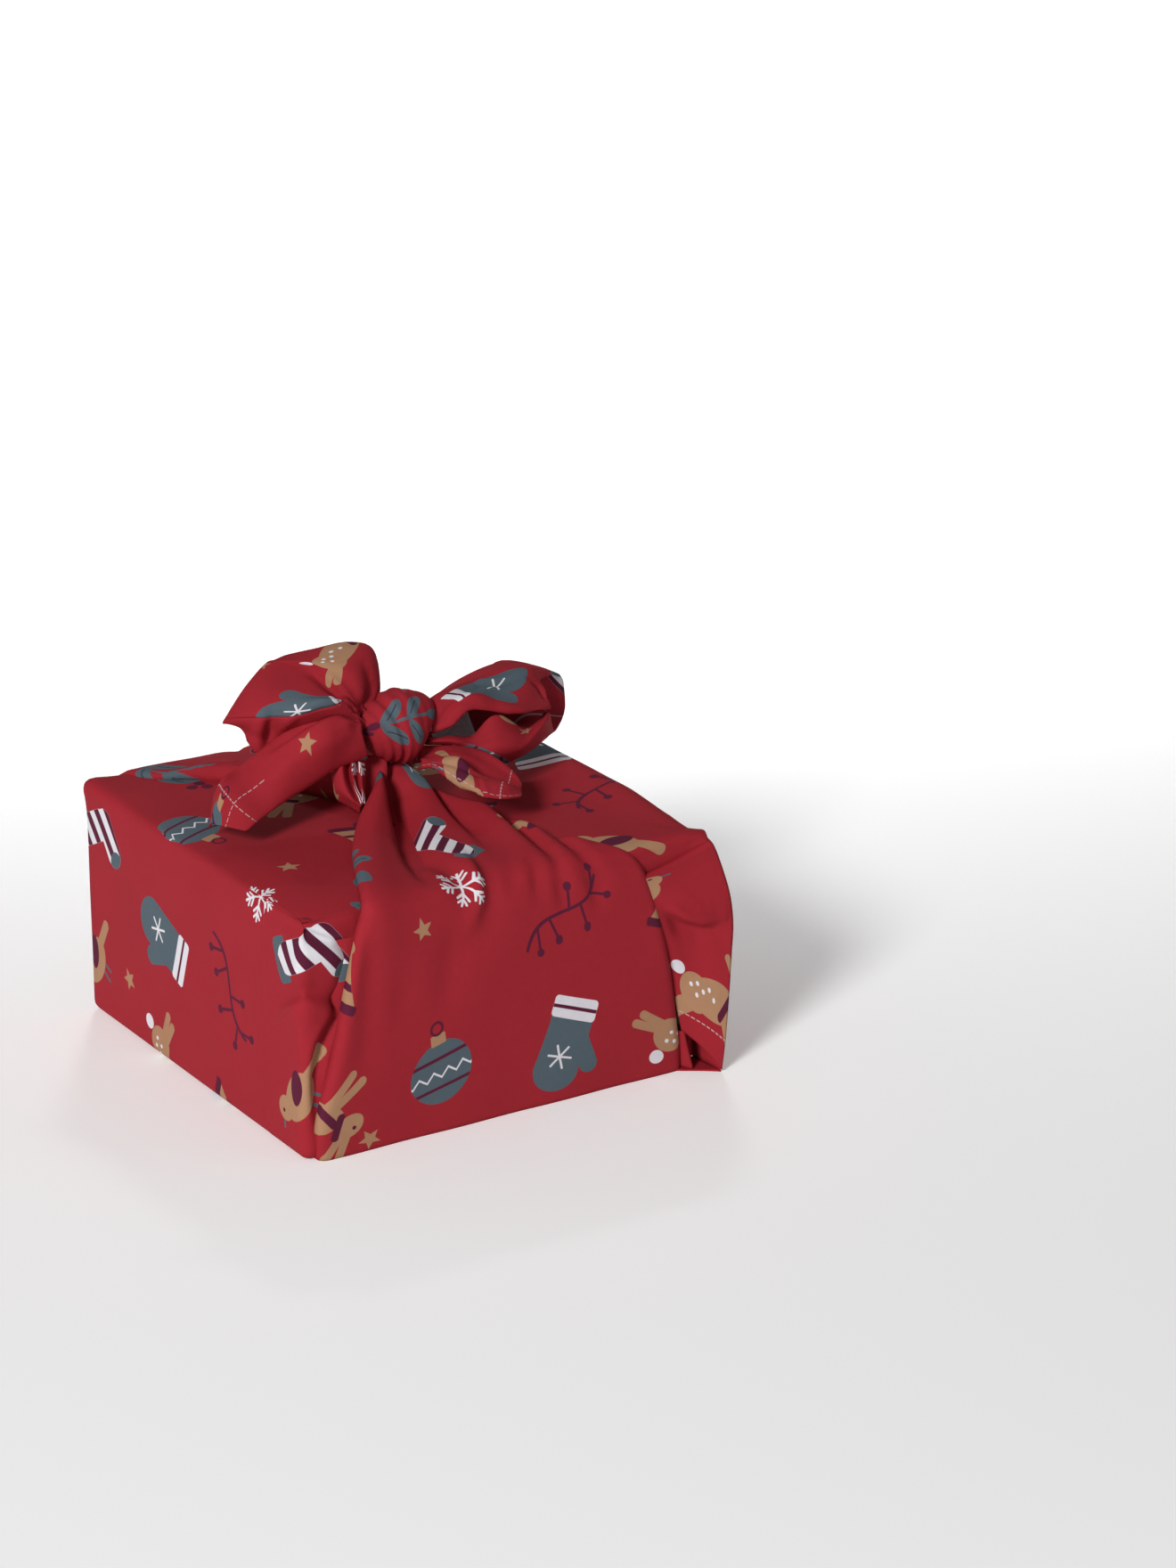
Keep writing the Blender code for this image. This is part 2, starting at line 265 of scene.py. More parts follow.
def crease_lift(points, outward, creases):
    """How far each point is lifted along its outward normal.  The first half width is to the
    left of the line, seen from outside by someone who walks along it.  A line may lie a little
    above or below the cloth."""
    lift = np.zeros(len(points))
    for line in creases:
        rows = np.array(line, float)
        nearest = np.full(len(points), np.inf)
        found = np.zeros((len(points), 3))
        left = np.zeros(len(points), bool)
        for start, end in zip(rows[:-1], rows[1:]):
            run = end[:3] - start[:3]
            share = np.clip((points - start[:3]) @ run / (run @ run), 0, 1)[:, None]
            offset = points - start[:3] - share * run
            above = np.einsum("ij,ij->i", outward, offset)
            distance = np.linalg.norm(offset - outward * above[:, None], axis=1)
            distance += np.maximum(np.abs(above) - CREASE_DEPTH, 0)
            closer = distance < nearest
            nearest[closer] = distance[closer]
            found[closer] = (start[3:] + (end - start)[3:] * share)[closer]
            side = np.einsum("ij,ij->i", np.cross(outward, run), offset) > 0
            left[closer] = side[closer]
        half_width = np.where(left, found[:, 0], found[:, 1])
        lift += found[:, 2] * bump(nearest, half_width)
    return lift


def lifted(points, outward, lift):
    """Points of a table, lifted along their outward directions and given in metres."""
    return from_top(*(points + outward * lift[:, None]).T)


points = np.array([(5, distance, 0) for distance in (0, 1, 2)], float)
ridge = crease(2, 2, (0, 0, 0, 1), (10, 0, 0, 1))
print("a ridge of half width 2 mm and height 1 mm, at 0, 1 and 2 mm from its line:",
      crease_lift(points, np.tile((0.0, 0.0, 1.0), (3, 1)), [ridge]).round(2), "mm")

# %% [markdown]
# ## The parcel
#
# Where the cloth lies on the box it is almost flat, but it rounds the edges, swells a little at
# the corners where layers bunch up, and has a few pinched creases by the tied fan.  A cube is cut
# finely and its points pushed out to a rounded box, and then along its normals by the creases.

# %% Crease the parcel
RIPPLE = 0.18  # mm: how uneven the cloth is all over
PARCEL_CREASES = (
    # the rounder edges of the top, and the right one drawn up
    ((-84, 85, 0, 9, 9, 1), (-84, 50, 0, 10, 10, -1.6), (-84, -85, 0, 11, 11, -3)),
    crease(11, 11, (-84, -85, 0, -2.4), (-50, -85, 0, -2.4)),
    ((84, 85, 0, 14, 14, 2.6), (84, -36, 0, 14, 14, 3.2), (84, -62, 0, 12, 12, 1.5)),
    crease(6, 6, (-84, 85, 0, 0.6), (-40, 85, 0, -1.2), (84, 85, 0, -1.2)),
    # the swell of the sides and the slack of the top
    crease(34, 34, (-84, 20, -50, 0.8), (-84, -10, -50, 0.8)),
    crease(34, 34, (84, 20, -50, 0.8), (84, -20, -50, 0.8)),
    crease(22, 22, (-50, -10, 0, -1.2), (-40, 20, 0, -1.2)),
    crease(24, 24, (55, 0, 0, -0.8), (55, 40, 0, -0.8)),
    crease(1.4, 3, (-70, -44, 0, 0), (-55, -44, 0, 0.5), (-35, -54, 0, 0.4)),
)


def parcel_lift(points, outward):
    """The creases, and a ripple whose crossed waves never meet in the same way twice."""
    x, y, z = points.T
    ripple = RIPPLE * np.sin(x / 9 + y / 14) * np.sin(y / 11 - z / 8 + 1)
    return crease_lift(points, outward, PARCEL_CREASES) + ripple


print("creases of the parcel:", len(PARCEL_CREASES))

# %% [markdown]
# The cloth on the box is one closed form, and its base lies flat on the surface.  Its front left
# corner is pleated, which takes a finer sheet of its own, so the form is sunk behind that sheet.

# %% Shape the parcel
PARCEL_CUTS = 36
EVEN, CROWDED = 0.45, 0.55  # how the cuts are spread: shares of even and of near the edges
SOFT_EDGE = 4 * MM  # how round the cloth makes the box's edges
FLOOR_FADE = 10  # mm above the surface, over which creases fade
LEFT, FRONT = -BOX[0] / 2, -BOX[1] / 2  # mm, the planes of the left side and the front
SIDE_DEPTH = 3.5  # mm: a point this near to the left side or the front is on it
PLEAT_REACH = (-32, 26)  # mm round the front left corner: the pleated part of it
SINK, SINK_MARGIN, SINK_RUN = 7, 9, 6  # mm: how deep, how far in it starts, and over what run


def sunk_corner(x, y, z):
    """How far the parcel is sunk behind its pleated corner, below its top."""
    on_side, on_front = x < LEFT + SIDE_DEPTH, y < FRONT + SIDE_DEPTH
    around = np.where(on_side, FRONT - y, x - LEFT)
    inside = np.minimum(PLEAT_REACH[1] - around, around - PLEAT_REACH[0])
    inside = np.where((on_side | on_front) & (z < -0.4), inside, 0)
    return SINK * ease((inside - SINK_MARGIN) / SINK_RUN)


def round_box(unit):
    """The points of a rounded box, and which way is out, from the points of a unit cube."""
    half = np.array([WIDTH, DEPTH, HEIGHT]) / 2
    points = (EVEN * unit + CROWDED * np.sin(np.pi * unit) / 2) * half * 2
    core = np.clip(points, SOFT_EDGE - half, half - SOFT_EDGE)
    outward = points - core
    outward /= np.linalg.norm(outward, axis=1, keepdims=True)
    return core + outward * SOFT_EDGE + (0, 0, half[2]), outward


def parcel_flat(x, y, z, normal):
    """The place of a point of the parcel on the flat square: its base in the middle, and its
    sides and top unfolded to the left and right."""
    side = np.sign(x) * (WIDTH / 2)
    round_corner = np.sign(y) * (DEPTH / 2 + np.abs(side - x))
    up = np.sign(x) * (WIDTH / 2 + z)
    over = np.sign(x) * (WIDTH + HEIGHT) - x
    u = np.where(normal == 2, over, up)
    u = np.where(normal == -2, x, u)
    v = np.where(np.abs(normal) == 1, round_corner, y)
    return np.stack([u, v], axis=-1)


def unfold(mesh, points):
    """The flat place of every corner of every face, because the cloth is unfolded at the edges.
    A face's normal is given as its axis, 0 to 2, and is negative where it points back."""
    half = np.array([WIDTH, DEPTH, HEIGHT]) / 2
    corners = np.array([points[list(face.vertices)] for face in mesh.polygons])
    middle = corners.mean(axis=1) - (0, 0, half[2])
    axis = (np.abs(middle) / half).argmax(axis=1)
    normal = np.where(middle[np.arange(len(axis)), axis] < 0, -axis, axis)
    return np.concatenate([parcel_flat(*corner.T, way) for corner, way in zip(corners, normal)])


def add_parcel():
    piece = add_piece("parcel", bpy.ops.mesh.primitive_cube_add, size=1)
    edit_all(bpy.ops.mesh.subdivide, number_cuts=PARCEL_CUTS)
    points, outward = round_box(points_of(piece.data))
    from_lid = (points - (0, 0, HEIGHT)) / MM
    lift = parcel_lift(from_lid, outward) - sunk_corner(*from_lid.T)
    raised = np.clip(points[:, 2:] / (FLOOR_FADE * MM), 0, 1)
    placed = points + outward * raised * lift[:, None] * MM
    lay_out(piece.data, placed, unfold(piece.data, points))
    return finish_sheet(piece)


parcel = add_parcel()

# %% [markdown]
# At the front left corner the cloth is pulled into pleats beside the fan.  That part is a finer
# sheet of its own, laid round the corner, and its creases are given as if it were unrolled: the
# way round the corner, 0, and the height.

# %% Crease the corner
CORNER_CREASES = (
    ((-3, 0, -5, 1.2, 2, -0.8), (0, 0, -5.5, 1.2, 2.2, -2.6), (3, 0, -7, 1.2, 2.4, -3),
     (7, 0, -9, 1.2, 2.6, -3), (11, 0, -11, 1.2, 2.7, -3), (15, 0, -12.5, 1.2, 2.9, -3),
     (19, 0, -14.5, 1.2, 3, -2.6)),
    crease(3.5, 2, (-5, 0, -3.5, 0.2), (1, 0, -3.5, 1.1), (5.5, 0, -6, 1.1), (11, 0, -9, 1),
           (17.5, 0, -12, 0.7)),
    crease(6, 9, (0.5, 0, -12, 0.8), (5.5, 0, -13.5, 2), (11, 0, -15.5, 2.6),
           (15.5, 0, -17.5, 2.2)),
    ((-19, 0, -41, 6, 1.6, -0.2), (-13.5, 0, -36.5, 6, 1.6, -1.2), (-7, 0, -32.5, 6, 1.6, -2),
     (0, 0, -29.5, 6, 1.6, -2.2), (4, 0, -30.5, 5.7, 1.7, -2.2), (9, 0, -33, 5.3, 1.7, -2),
     (13.5, 0, -36, 5, 1.8, -1.6)),
    crease(2, 8, (-16, 0, -41.5, 0.2), (-8.5, 0, -36, 1.2), (0, 0, -31.5, 1.8), (5, 0, -33, 1.8),
           (10.5, 0, -36, 1.4)),
    ((15.5, 0, -37, 1.4, 4, -2.6), (13, 0, -41.5, 1.4, 4, -4), (10, 0, -45.5, 1.5, 4, -5),
     (7, 0, -50.5, 1.5, 4, -5.4), (5.5, 0, -55, 1.6, 4, -5), (4.5, 0, -61, 1.6, 4, -4.6),
     (4.5, 0, -66.5, 1.7, 4, -4), (4.5, 0, -73.5, 1.7, 4, -2.6), (4.5, 0, -81, 1.8, 4, -1)),
    crease(7, 2.5, (10.5, 0, -39.5, 0.8), (6, 0, -44.5, 1.8), (3, 0, -50, 2.4), (2, 0, -56, 2.6),
           (1.5, 0, -62, 2.2), (1.5, 0, -71, 1.4), (1.5, 0, -80.5, 0.4)),
    ((19, 0, -15, 4, 4, -2.4), (18, 0, -20, 4, 4, -2.4), (17, 0, -26, 4, 4, -2.4),
     (16, 0, -32, 3.5, 4, -2.2), (15, 0, -37, 3, 4, -2.4)),
    crease(7, 7, (-2, 0, -21.5, 0), (4.5, 0, -20, -0.8), (10.5, 0, -21.5, -0.8)),
)
print("creases of the corner:", len(CORNER_CREASES))

# %% [markdown]
# The sheet follows the rounded box a little proud of it, and its edges are tucked into it, so
# that the two read as one cloth.

# %% Shape the corner
CORNER_RUN = (-4, 97)  # mm down the sheet, from a little way in on the parcel's top
CORNER_MARGIN, CORNER_FADE = 3, 6  # mm: its creases start this far in, and over this run
CORNER_PROUD, CORNER_TUCK = 0.1, (0.4, 5)  # mm: how far out it lies, and its edges' way in


def corner_grid(across, along):
    """The way round the corner, and the way down from where its top edge starts to bend."""
    return (PLEAT_REACH[0] + (PLEAT_REACH[1] - PLEAT_REACH[0]) * across,
            CORNER_RUN[0] + (CORNER_RUN[1] - CORNER_RUN[0]) * along)


def corner_form(around, down):
    """The rounded box at that corner, and which way is out."""
    radius = SOFT_EDGE / MM
    bend = radius * np.pi / 2
    turn = np.clip(around / radius + 1, 0, np.pi / 2)
    rise = np.clip(np.pi / 2 - down / radius, 0, np.pi / 2)
    rise -= np.clip((down - bend - BOX[2] + 2 * radius) / radius, 0, np.pi / 2)
    reach = radius * np.cos(rise) + np.minimum(down, 0)
    x = LEFT + radius - np.cos(turn) * reach + np.maximum(around + radius - bend, 0)
    y = FRONT + radius - np.sin(turn) * reach + np.maximum(-radius - around, 0)
    z = radius * (np.sin(rise) - 1) - np.clip(down - bend, 0, BOX[2] - 2 * radius)
    outward = [-np.cos(turn) * np.cos(rise), -np.sin(turn) * np.cos(rise), np.sin(rise)]
    return np.stack([x, y, z], axis=-1), np.stack(outward, axis=-1)


def corner_place(across, along):
    around, down = corner_grid(across, along)
    points, outward = corner_form(around, down)
    z = points[:, 2]
    unrolled = np.stack([around, 0 * around, z], axis=-1)
    lift = crease_lift(unrolled, np.tile((0.0, -1.0, 0.0), (len(z), 1)), CORNER_CREASES)
    sides = np.minimum(across, 1 - across) * (PLEAT_REACH[1] - PLEAT_REACH[0])
    edge = np.minimum(sides, down - CORNER_RUN[0])
    lift = lift * ease((edge - CORNER_MARGIN) / CORNER_FADE) + parcel_lift(points, outward)
    lift *= np.clip((z + BOX[2]) / FLOOR_FADE, 0, 1)
    deep, run = CORNER_TUCK
    lift += CORNER_PROUD - deep * (1 - ease(edge / run))
    return lifted(points, outward, lift)


def corner_flat(across, along):
    around, down = corner_grid(across, along)
    return np.stack([-(WIDTH / 2 + HEIGHT - down * MM), -DEPTH / 2 - around * MM], axis=-1)


cloth_grid("corner", 54, 82, corner_place, corner_flat, inside_out=True, doubled=True)

# %% [markdown]
# ## The fans
#
# Two opposite corners of the square come up the front and the back and are gathered under the
# knot, so each spreads like a fan.  Its rows give its height and its two edges from the knot to
# the floor, and its folds run down from the knot and fade.  At both edges the cloth turns under in
# a soft roll, which is where a real fan is folded in.

# %% Set down the fans
FRONT_FAN = (
    # out, z, left, right
    (2, 17, -3, 8),
    (12, 12.5, -12, 13),
    (24, 8, -25, 19),
    (40, 5, -37, 26),
    (56, 4, -45.5, 30),
    (72, 3.5, -53, 36.5),
    (81, 2.9, -57, 43),
    (86.8, 0.9, -59.5, 50),
    (89.6, -3.5, -60.5, 55),
    (90.5, -12, -63, 59.5),
    (90.5, -30, -67.5, 65.5),
    (90.5, -55, -73.5, 71),
    (89.5, -78, -79.5, 74.5),
    (87.5, -94, -79.5, 77.5),
)
BACK_FAN = (
    (2, 17, -8, 3),
    (12, 12.5, -13, 12),
    (24, 9, -20, 25),
    (40, 6.5, -29, 37),
    (56, 4, -42, 45.5),
    (72, 2, -62, 53),
    (81, 1.2, -67, 57),
    (86, -1, -69, 59.5),
    (88, -5, -70, 60.5),
    (89, -12, -71, 63),
    (89, -30, -72, 68),
    (89, -55, -74, 74),
    (88, -78, -76, 79),
    (87, -94, -77, 80),
)
print("a fan has", len(FRONT_FAN), "rows and ends", -FRONT_FAN[-1][1], "mm below the box's top")

# %% [markdown]
# The folds start under the knot, where they are deep and close, and fade on the way down.

# %% Crease the fans
FRONT_CREASES = (
    ((-3, -6.5, 15, 5, 1.8, -6), (-4.5, -13, 12, 6.4, 2.1, -10.5), (-8, -22, 8.5, 7, 2.2, -10.5),
     (-13, -33.5, 6, 7, 2.2, -9), (-20, -48, 4.5, 7, 2.3, -6.3), (-26, -63, 4, 6.4, 2.6, -3.9),
     (-30, -77, 3, 5.7, 2.7, -1.8), (-31.5, -86.5, 1, 5, 2.7, 0)),
    ((-5.5, -6.5, 15, 4, 4, 2.9), (-11, -15, 11.5, 4.7, 4.7, 4), (-19, -26, 7.5, 5.4, 5.4, 3.7),
     (-29.5, -43, 5, 6.3, 6.3, 3.2), (-43, -67, 3.5, 7.7, 7.7, 2.5),
     (-53.5, -87.5, 0.5, 8.6, 8.6, 1.8), (-54, -90.5, -10.5, 9, 9, 1.1),
     (-54, -90.5, -23, 9, 9, 0)),
    ((11.5, -4.5, 16, 3, 1, -2), (12, -13, 12, 3.7, 1.2, -3), (12, -21, 9, 4.3, 1.5, -3.5),
     (10, -35, 6, 5, 1.8, -3), (8.5, -47, 4.5, 5.7, 2, -2), (5, -64, 4, 6.3, 2.5, -1),
     (0, -81.5, 3, 7, 3, 0)),
    ((23.5, -24, 8, 2, 4, 1.5), (21.5, -39, 5, 2.2, 4.5, 2.2), (19.5, -53.5, 4, 2.5, 5, 2.4),
     (17, -68.5, 3.5, 2.8, 5.5, 2.2), (15.5, -81, 3, 3, 6, 1.2), (16, -87.5, 0, 3.5, 6.5, 0.5),
     (16.5, -90, -7, 4, 7, 0)),
    ((24.5, -34, 6, 3, 1.2, -2), (25, -40, 5, 3.4, 1.3, -3.2), (23, -55.5, 4, 3.9, 1.5, -3.4),
     (22.5, -67, 3.5, 4, 1.6, -3.2), (21.5, -78.5, 3, 4, 1.7, -2), (21.5, -87, 1, 4.1, 2, -0.8),
     (22, -89, -3, 4.6, 2.5, -0.5), (24, -90.5, -10, 5, 3, 0)),
    ((27.5, -35.5, 6, 1.5, 2, 1.2), (28, -50, 4.5, 1.8, 2.2, 2.2), (27, -64, 4, 2, 2.5, 2.2),
     (25.5, -78.5, 3, 2.5, 2.8, 1.5), (25, -85.5, 1.5, 3, 3, 0.7),
     (26, -89.5, -3.5, 3.5, 3.5, 0.5), (27.5, -90.5, -11.5, 4, 4, 0)),
    ((30.5, -46, 4.5, 2.5, 1.2, -1.5), (31.5, -57.5, 4, 2.7, 1.3, -2.4),
     (32, -68, 3.5, 2.9, 1.5, -2.6), (31, -81, 3, 3.3, 1.6, -1.8),
     (32, -87.5, 0.5, 3.7, 1.9, -0.9), (35.5, -89.5, -3, 4.1, 2.1, -0.6),
     (38.5, -90.5, -9, 4.6, 2.6, -0.3), (41.5, -90.5, -14.5, 5, 3, 0)),
    ((34.5, -61.5, 4, 2, 2, 0.6), (35, -74, 3.5, 2.2, 2.2, 1), (37, -84.5, 2, 2.4, 2.4, 0.4),
     (40.5, -89, -2.5, 2.8, 2.8, 0.3), (45.5, -90.5, -10, 3.4, 3.4, 0.2),
     (49.5, -90.5, -17.5, 4, 4, 0)),
    ((-15, -69.5, 3.5, 1.8, 5, -0.4), (-17, -81.5, 3, 1.9, 5.7, -1.7),
     (-17, -87.5, 0, 2, 6, -1.8), (-16.5, -90, -5.5, 2, 6, 0)),
    ((-8, -68.5, 3.5, 3, 4, 0.8), (-10.5, -80.5, 3, 3.2, 4.4, 1.8),
     (-12.5, -88, -1, 3.4, 4.8, 2.2), (-13, -90, -7, 3.6, 5.2, 2),
     (-15, -90.5, -14, 3.8, 5.6, 1.2), (-17.5, -90.5, -21, 4, 6, 0)),
    ((-3.5, -69, 3.5, 7, 2, -0.4), (-7.5, -82, 3, 7.3, 2.1, -1.8),
     (-9.5, -88.5, -1.5, 7.7, 2.2, -2.2), (-10, -90, -7.5, 8, 2.6, -2),
     (-12, -90.5, -13.5, 8.3, 3, -1.4), (-15, -90.5, -19, 8.7, 3.5, -0.8),
     (-18.5, -90.5, -27, 9, 4, 0)),
    crease(7, 6, (-23, -90.5, -17.5, -0.8), (-25, -90.5, -25.5, -1.2), (-27, -90.5, -37, -1),
           (-30, -90.5, -50, 0)),
    crease(4, 3, (4.5, -80, 3, -0.4), (1.5, -88.5, -2, -0.9), (1, -90.5, -10, 0)),
    crease(5, 2.5, (12.5, -83, 2.5, -0.6), (11, -89.5, -3.5, -1.4), (11, -90.5, -13.5, 0)),
    crease(5, 2.5, (19.5, -88.5, -1.5, -0.6), (21, -90.5, -9, -1.4), (22.5, -90.5, -21, 0)),
    crease(5, 2.5, (32, -89.5, -3, -0.6), (35.5, -90.5, -12, -1.6), (37, -90.5, -22.5, 0)),
    ((-61.5, -88, -0.5, 4, 2.5, -0.6), (-60, -90, -7, 4.8, 3.1, -1.3),
     (-59, -90.5, -21.5, 5.6, 3.7, -1.4), (-60, -90.5, -38.5, 6, 4.2, -1.2),
     (-61.5, -90.5, -55.5, 6, 4.6, -1), (-63.5, -90, -68, 6, 5, 0)),
    crease(6, 5, (-44.5, -90.5, -23, -0.3), (-45.5, -90.5, -36.5, -0.8), (-48, -90.5, -49.5, 0)),
    ((-19, -49, 4.5, 5, 4, -1), (-20, -64, 4, 5, 4, -1.8), (-18.5, -78, 3, 5, 4, -1.6),
     (-18.5, -87.5, 0, 5, 4.2, -1.6), (-17, -90, -6, 5, 4.6, -1), (-16.5, -90.5, -13.5, 5, 5, 0)),
)
# The back is gathered as the front is, a little less, and is lapped in pleats at one side.
BACK_CREASES = tuple(
    tuple((x, -y, z, right, left, 0.8 * height) for x, y, z, left, right, height in line)
    for line in FRONT_CREASES[2:9] + FRONT_CREASES[12:16]
) + (
    ((-58.5, 63, 3, 2, 2, -0.5), (-51.5, 61, 3, 2, 2.5, -2), (-45.5, 58.5, 3, 2, 3, -2.4),
     (-39.5, 54, 3, 2.2, 3, -2.6), (-34.5, 50, 3, 2.5, 3, -2.6)),
    crease(3, 3, (-56.5, 64, 4.5, 1), (-50, 63.5, 4.5, 2.5), (-43.5, 60.5, 4.5, 2.8),
           (-38, 56.5, 4.5, 3), (-33.5, 53, 4.5, 3)),
    ((-50, 66, 5, 1.5, 1.5, -1), (-42, 63, 5, 1.5, 1.8, -2), (-36.5, 59.5, 5, 1.5, 2, -2.4),
     (-32, 55.5, 5, 1.5, 2, -2.4)),
    ((-47, 66.5, 6, 2.5, 2.5, 0.6), (-40.5, 64.5, 6, 2.5, 2.8, 1.8), (-35, 62, 6, 2.5, 3, 2.2),
     (-30, 58.5, 6, 2.5, 3, 2.2)),
    ((-37, 65, 7, 1.5, 1.5, -0.6), (-32, 62, 7, 1.5, 2, -1.6), (-24.5, 56.5, 7, 1.5, 2, -2)),
)
print("creases in front and behind:", len(FRONT_CREASES), len(BACK_CREASES))

# %% [markdown]
# A fan's grid is a little wider than the fan: what is beyond its edges turns under, down to the
# cloth that it lies on.

# %% Shape the fans
ROLL_REACH = 0.05  # how much of the grid turns under at each edge
ROLL_IN = 2.0  # mm: how far the turned edge goes back under the fan
FAN_STEP = 0.005  # the share of its length over which its slope is measured
FAN_ON_SIDE, FAN_SIDE = 88, 84.5  # mm out: below the box's edge it hangs here, against this
FAN_SINK = 0.6  # mm: how deep its turned edge goes into the cloth below
FAN_RIPPLE = 0.2  # mm
FAN_SPREAD = 130  # mm below the knot it has spread to its full width
KNOT_FROM_MIDDLE = 300  # mm along the flat square


def fan_outward(rows, along, side):
    ahead, behind = (read_rows(rows, np.clip(along + way * FAN_STEP, 0, 1)) for way in (1, -1))
    run_out, run_down = (ahead - behind)[:, :2].T
    slope = np.hypot(run_out, run_down)
    return np.stack([0 * slope, side * -run_down / slope, run_out / slope], axis=-1)


def fan_place(rows, creases, side, roll):
    """The place of each point of a fan.  side is -1 at the front and 1 at the back."""

    def place(across, along):
        wide = across * (1 + 2 * ROLL_REACH) - ROLL_REACH
        inside = np.clip(wide, 0, 1)
        under = np.abs(wide - inside) / ROLL_REACH
        out, z, left, right = read_rows(rows, along).T
        outward = fan_outward(rows, along, side)
        x = left + (right - left) * inside
        base = np.stack([x, side * out, z], axis=-1)
        lift = crease_lift(base, outward, creases)
        lift += FAN_RIPPLE * np.sin(x / 7 + (out - z) / 13) * np.sin((out - z) / 17)
        rounding = np.clip(1 - np.minimum(x - left, right - x) / roll, 0, 1)
        lift -= roll * (1 - np.sqrt(1 - rounding**2))
        tall = np.where(out > FAN_ON_SIDE, out - FAN_SIDE, np.maximum(z, 0)) + lift + FAN_SINK
        lift -= under * np.maximum(tall, 0)
        base[:, 0] += np.sign(0.5 - across) * under * ROLL_IN
        return lifted(base, outward, lift)

    return place


def fan_flat(rows, side, neck, foot):
    """The cloth is wide all the way up, so its print is drawn together towards the knot."""
    runs = np.diff(np.array(rows)[:, :2], axis=0)
    lengths = np.concatenate([[0], np.cumsum(np.hypot(*runs.T))])

    def flat(across, along):
        down = np.interp(along, np.linspace(0, 1, len(rows)), lengths)
        wide = neck + (foot - neck) * ease(down / FAN_SPREAD)
        flat_place = [(across - 0.5) * wide, side * (KNOT_FROM_MIDDLE - down)]
        return np.stack(flat_place, axis=-1) * MM

    return flat


cloth_grid("front_fan", 100, 112, fan_place(FRONT_FAN, FRONT_CREASES, -1, 4.0),
           fan_flat(FRONT_FAN, -1, 70, 165), inside_out=True)
cloth_grid("back_fan", 56, 66, fan_place(BACK_FAN, BACK_CREASES, 1, 3.0),
           fan_flat(BACK_FAN, 1, 70, 165))

# %% [markdown]
# Left of the fan's neck a narrow fold of hemmed cloth stands up beside it, half hidden by the bow.

# %% Shape the fold beside the neck
NECK_FOLD = (
    ((-20.5, 4, 17.5), (-23.5, -2, 23.5), (-23, -8, 25), (-18.5, -5, 23.5), (-19, -9, 24.5),
     (-16, -6, 23), (-15.5, -8, 23.5), (-11, -5, 22), (-8, -1, 21), (-2, -5, 21)),
    ((-22, 1, 12), (-25, -5, 18), (-24, -10.5, 19.5), (-19.5, -7, 17.5), (-20, -11, 19),
     (-16.5, -8, 17.5), (-16, -10.5, 18), (-12, -7, 16.5), (-9.5, -3.5, 15.5), (-3, -7, 14)),
    ((-22.5, -3, 7), (-25.5, -9, 13), (-24.5, -14, 15), (-19.5, -10, 13.5), (-20.5, -13.5, 15),
     (-17.5, -11, 14), (-17.5, -13.5, 15.5), (-14, -10, 13.5), (-11.5, -7, 12), (-6, -9, 10)),
    ((-21.5, -9, 6), (-23.5, -13, 10), (-23.5, -17, 11.5), (-20, -14, 11), (-20.5, -16.5, 12.5),
     (-18.5, -14.5, 11.5), (-18.5, -16.5, 12.5), (-16, -13, 11), (-14, -11, 9.5), (-9, -12, 8)),
    ((-20, -16, 5), (-21, -18, 8), (-21, -19, 9), (-20.5, -18.5, 9.5), (-20.5, -19, 9.5),
     (-20, -18.5, 10), (-20, -19, 10), (-18.5, -17, 9.5), (-17, -16, 8.5), (-12, -16, 7)),
)
NET_STEP = 0.004  # the share of a net over which its slope is measured


def net_place(net, creases=(), closed=False):
    """A net of points, with creases that are pressed in along its normals."""

    def place(across, along):
        def beside(way):
            moved = across + way * NET_STEP
            return read_net(net, moved % 1 if closed else np.clip(moved, 0, 1), along, closed)

        def ahead(way):
            return read_net(net, across, np.clip(along + way * NET_STEP, 0, 1), closed)

        points = read_net(net, across, along, closed)
        outward = np.cross(beside(1) - beside(-1), ahead(1) - ahead(-1))
        outward /= np.linalg.norm(outward, axis=1, keepdims=True) + 1e-9  # never 0
        return lifted(points, outward, crease_lift(points, outward, creases))

    return place


def strip_flat(width, length, at):
    """A strip of the flat square: its size in mm, and its first corner in metres."""

    def flat(across, along):
        return np.stack([at[0] + across * width * MM, at[1] + along * length * MM], axis=-1)

    return flat


cloth_grid("neck_fold", 40, 30, net_place(NECK_FOLD), strip_flat(40, 26, (0.12, 0.27)),
           inside_out=True)

# %% [markdown]
# ## The ear
#
# At the front right corner the spare cloth isn't tucked away: it stands out as a fold, like an
# ear.  Its sheet goes from under the fan to a crisp fold at the tip and back along the side, and
# ends below in the slanting hem of the square.

# %% Shape the ear
EAR_ROWS = (
    # z, start x, start y, tip x, tip y, end x, end y
    (-3, 55, -89.6, 86.5, -90, 85.5, -76),
    (-10, 57, -89.8, 89, -91.5, 86, -70),
    (-24, 61, -89.4, 92.5, -93.8, 86, -64),
    (-36, 64.5, -88.5, 93.5, -95, 86, -62),
    (-48, 67.5, -88, 93, -95, 86, -62),
    (-62, 70.5, -88, 91.5, -96, 86, -62),
    (-80, 73, -88, 89.5, -97, 86, -64),
    (-93.5, 75.5, -88, 87.5, -97.5, 86, -68),
)
EAR_DROP = 12  # mm: how much lower its upper edge is beside the fan than at the tip
EAR_ROLL = (0.05, 2.5)  # its upper edge turns in: over what share of its height, and how far
EAR_BULGE = 0.3  # how round it is between its three upright lines
EAR_HEM, EAR_HEM_END = 15 * MM, 1.05  # how high the hem starts beside the fan, and its end
EAR_CREASED = (0.02, 0.1, 0.06)  # its creases start here and fade in, and out at the tip
